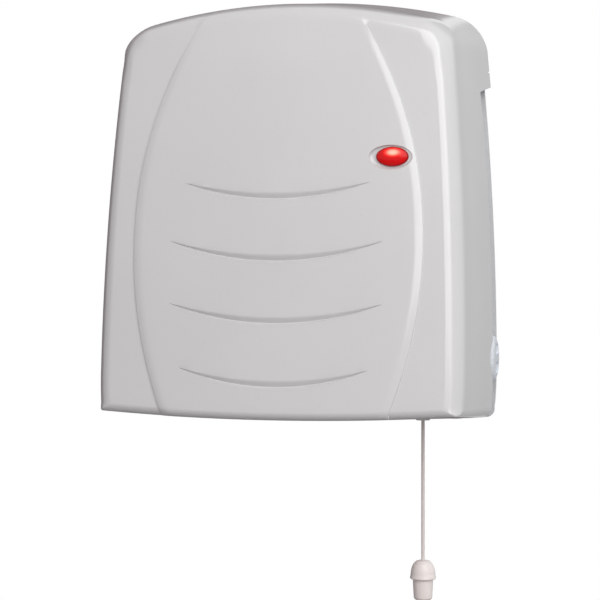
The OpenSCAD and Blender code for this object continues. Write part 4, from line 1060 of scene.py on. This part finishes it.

# %% [markdown]
# Each node of the frame names its finish in the record, and a list here names the finish of each
# new piece. Two loops dress them all.

# %% Dress every piece
slots = {part["node"]: part["material_slot"] for part in frame["record"]["subparts"]}
for node, piece in frame["nodes"].items():
    piece.data.materials.clear()
    piece.data.materials.append(finishes[slots[node]])
for piece, slot in (
    (cover, "cover_plastic"), (lens, "red_lens"), (knob, "knob_plastic"),
    (pull_cord, "cord"), (bell, "cream_plastic"), (plug, "cream_plastic"), (spring, "steel"),
):
    piece.data.materials.clear()
    piece.data.materials.append(finishes[slot])
print("dressed nodes:", len(slots))

# %% [markdown]
# The heater hangs in front of plain white. A pale floor lies well below it and keeps its shadow,
# and it looks a little paler to the camera than the light alone would make it. The world shows
# white to the camera, to reflections and through clear pieces. To all other rays it only fills
# the shadows that the lamps leave: a little from the front and the left, more and cooler from the
# right rear, so that the back can be read too. One direction sets that slope.

# %% Floor and world
FLOOR_Z, FLOOR_SIZE, FLOOR_LIFT = -0.9, 5, 0.62
SKY_TOWARDS = Vector((0.5, 0.866, 0.0))
SKY_FRONT, SKY_LEFT, SKY_REAR = (0.45, 0.412, 0.425), (0.16, 0.137, 0.143), (0.85, 0.87, 0.89)


def combine(tree, operation, first, second):
    """Two values through one math node."""
    node = add(tree, "Math")
    node.operation = operation
    feed(tree, first, node.inputs[0])
    feed(tree, second, node.inputs[1])
    return node.outputs["Value"]


def choose(tree, share, first, second):
    """The first shader where share is 0, the second where it is 1."""
    node = add(tree, "MixShader", Fac=share)
    feed(tree, first, node.inputs[1])
    feed(tree, second, node.inputs[2])
    return node.outputs["Shader"]


pick()
bpy.ops.mesh.primitive_plane_add(size=FLOOR_SIZE, location=(0, 0, FLOOR_Z))
floor = newest("studio_floor")
floor_material, tree, shader, place = new_finish("pale floor", (0.4, 0.4, 0.4), 0.8)
vary(tree, shader, "Base Color", noise(tree, place, 3), 0.39, 0.41, 0.3, 0.7)
rays = add(tree, "LightPath")
lift = combine(tree, "MULTIPLY", rays.outputs["Is Camera Ray"], FLOOR_LIFT)
feed(tree, lift, shader.inputs["Emission Strength"])
shader.inputs["Emission Color"].default_value = (1, 1, 1, 1)
floor.data.materials.append(floor_material)

world = bpy.data.worlds.new("studio")
bpy.context.scene.world = world
world.use_nodes = True
tree = world.node_tree
tree.nodes.clear()
slope = add(tree, "VectorMath", Vector=add(tree, "TexCoord").outputs["Generated"])
slope.operation = "DOT_PRODUCT"
slope.inputs[1].default_value = SKY_TOWARDS
share = add(tree, "MapRange", Value=slope.outputs["Value"], From_Min=-1, From_Max=1)
tint = ramp(tree, share.outputs["Result"], [(0, SKY_FRONT), (0.5, SKY_LEFT), (1, SKY_REAR)])
sky = add(tree, "Background", Color=tint, Strength=1)
white = add(tree, "Background", Color=(1, 1, 1, 1), Strength=1)
rays = add(tree, "LightPath")
seen = combine(tree, "MAXIMUM", rays.outputs["Is Camera Ray"], rays.outputs["Is Glossy Ray"])
seen = combine(tree, "MAXIMUM", seen, rays.outputs["Is Transmission Ray"])
shown = choose(tree, seen, sky.outputs["Background"], white.outputs["Background"])
add(tree, "OutputWorld", Surface=shown)
print("floor and world ready")

# %% [markdown]
# Behind the heater the photograph's studio was not white: the left edge of the cover mirrors
# something dark, and the right wall mirrors a mid grey. Two cards stand there. The camera looks
# through them, so they hide nothing in any view, and only reflections and soft light see their
# grey.

# %% Cards behind the heater
def card(name, azimuth, distance, width, height, grey):
    """An upright card that faces the heater. Azimuth 180 is behind it, positive to the right."""
    a = math.radians(azimuth)
    pick()
    bpy.ops.mesh.primitive_plane_add(
        size=1, rotation=(math.pi / 2, 0, a),
        location=(distance * math.sin(a), -distance * math.cos(a), FLOOR_Z + height / 2))
    board = newest(name)
    board.scale = (width, height, 1)
    bpy.ops.object.transform_apply()
    material = bpy.data.materials.new(name)
    material.use_nodes = True
    tree = material.node_tree
    tree.nodes.clear()
    face = add(tree, "Emission", Color=(*grey, 1)).outputs["Emission"]
    clear = add(tree, "BsdfTransparent").outputs["BSDF"]
    seen = add(tree, "LightPath").outputs["Is Camera Ray"]
    add(tree, "OutputMaterial", Surface=choose(tree, seen, face, clear))
    board.data.materials.append(material)


card("dark card", azimuth=-140, distance=1.5, width=2.2, height=2.4, grey=(0.12, 0.09, 0.095))
card("grey card", azimuth=155, distance=1.5, width=1.1, height=2.4, grey=(0.48, 0.485, 0.49))
print("cards ready")

# %% [markdown]
# The photograph's light is a wide softbox to the right of the camera and above it. Its reflection
# is the bright upright band on the rounded right edge and along the shield's right edge. A narrow
# strip further round to the right widens that band where the corner turns back. Both stand far
# enough to the front that the flat right side mirrors neither of them.

# %% Lamps
def softbox(name, azimuth, elevation, distance, width, height, power):
    """An area lamp that faces the heater. Azimuth 0 is in front, positive to the right."""
    a, e = math.radians(azimuth), math.radians(elevation)
    away = Vector((math.sin(a) * math.cos(e), -math.cos(a) * math.cos(e), math.sin(e)))
    bpy.ops.object.light_add(type="AREA", location=away * distance)
    lamp = bpy.context.object
    lamp.name = name
    lamp.rotation_euler = away.to_track_quat("Z", "Y").to_euler()
    lamp.data.shape = "RECTANGLE"
    lamp.data.size = width
    lamp.data.size_y = height
    lamp.data.energy = power


softbox("wide softbox", azimuth=31, elevation=29, distance=1.9, width=1.58, height=1.95, power=29)
softbox("side strip", azimuth=56, elevation=20, distance=1.9, width=0.5, height=1.7, power=5)
print("lamps:", len(bpy.data.lights))

# %% [markdown]
# The view transform stays plain, so a colour renders about as it is written.

# %% Finish
bpy.context.scene.view_settings.view_transform = "Standard"
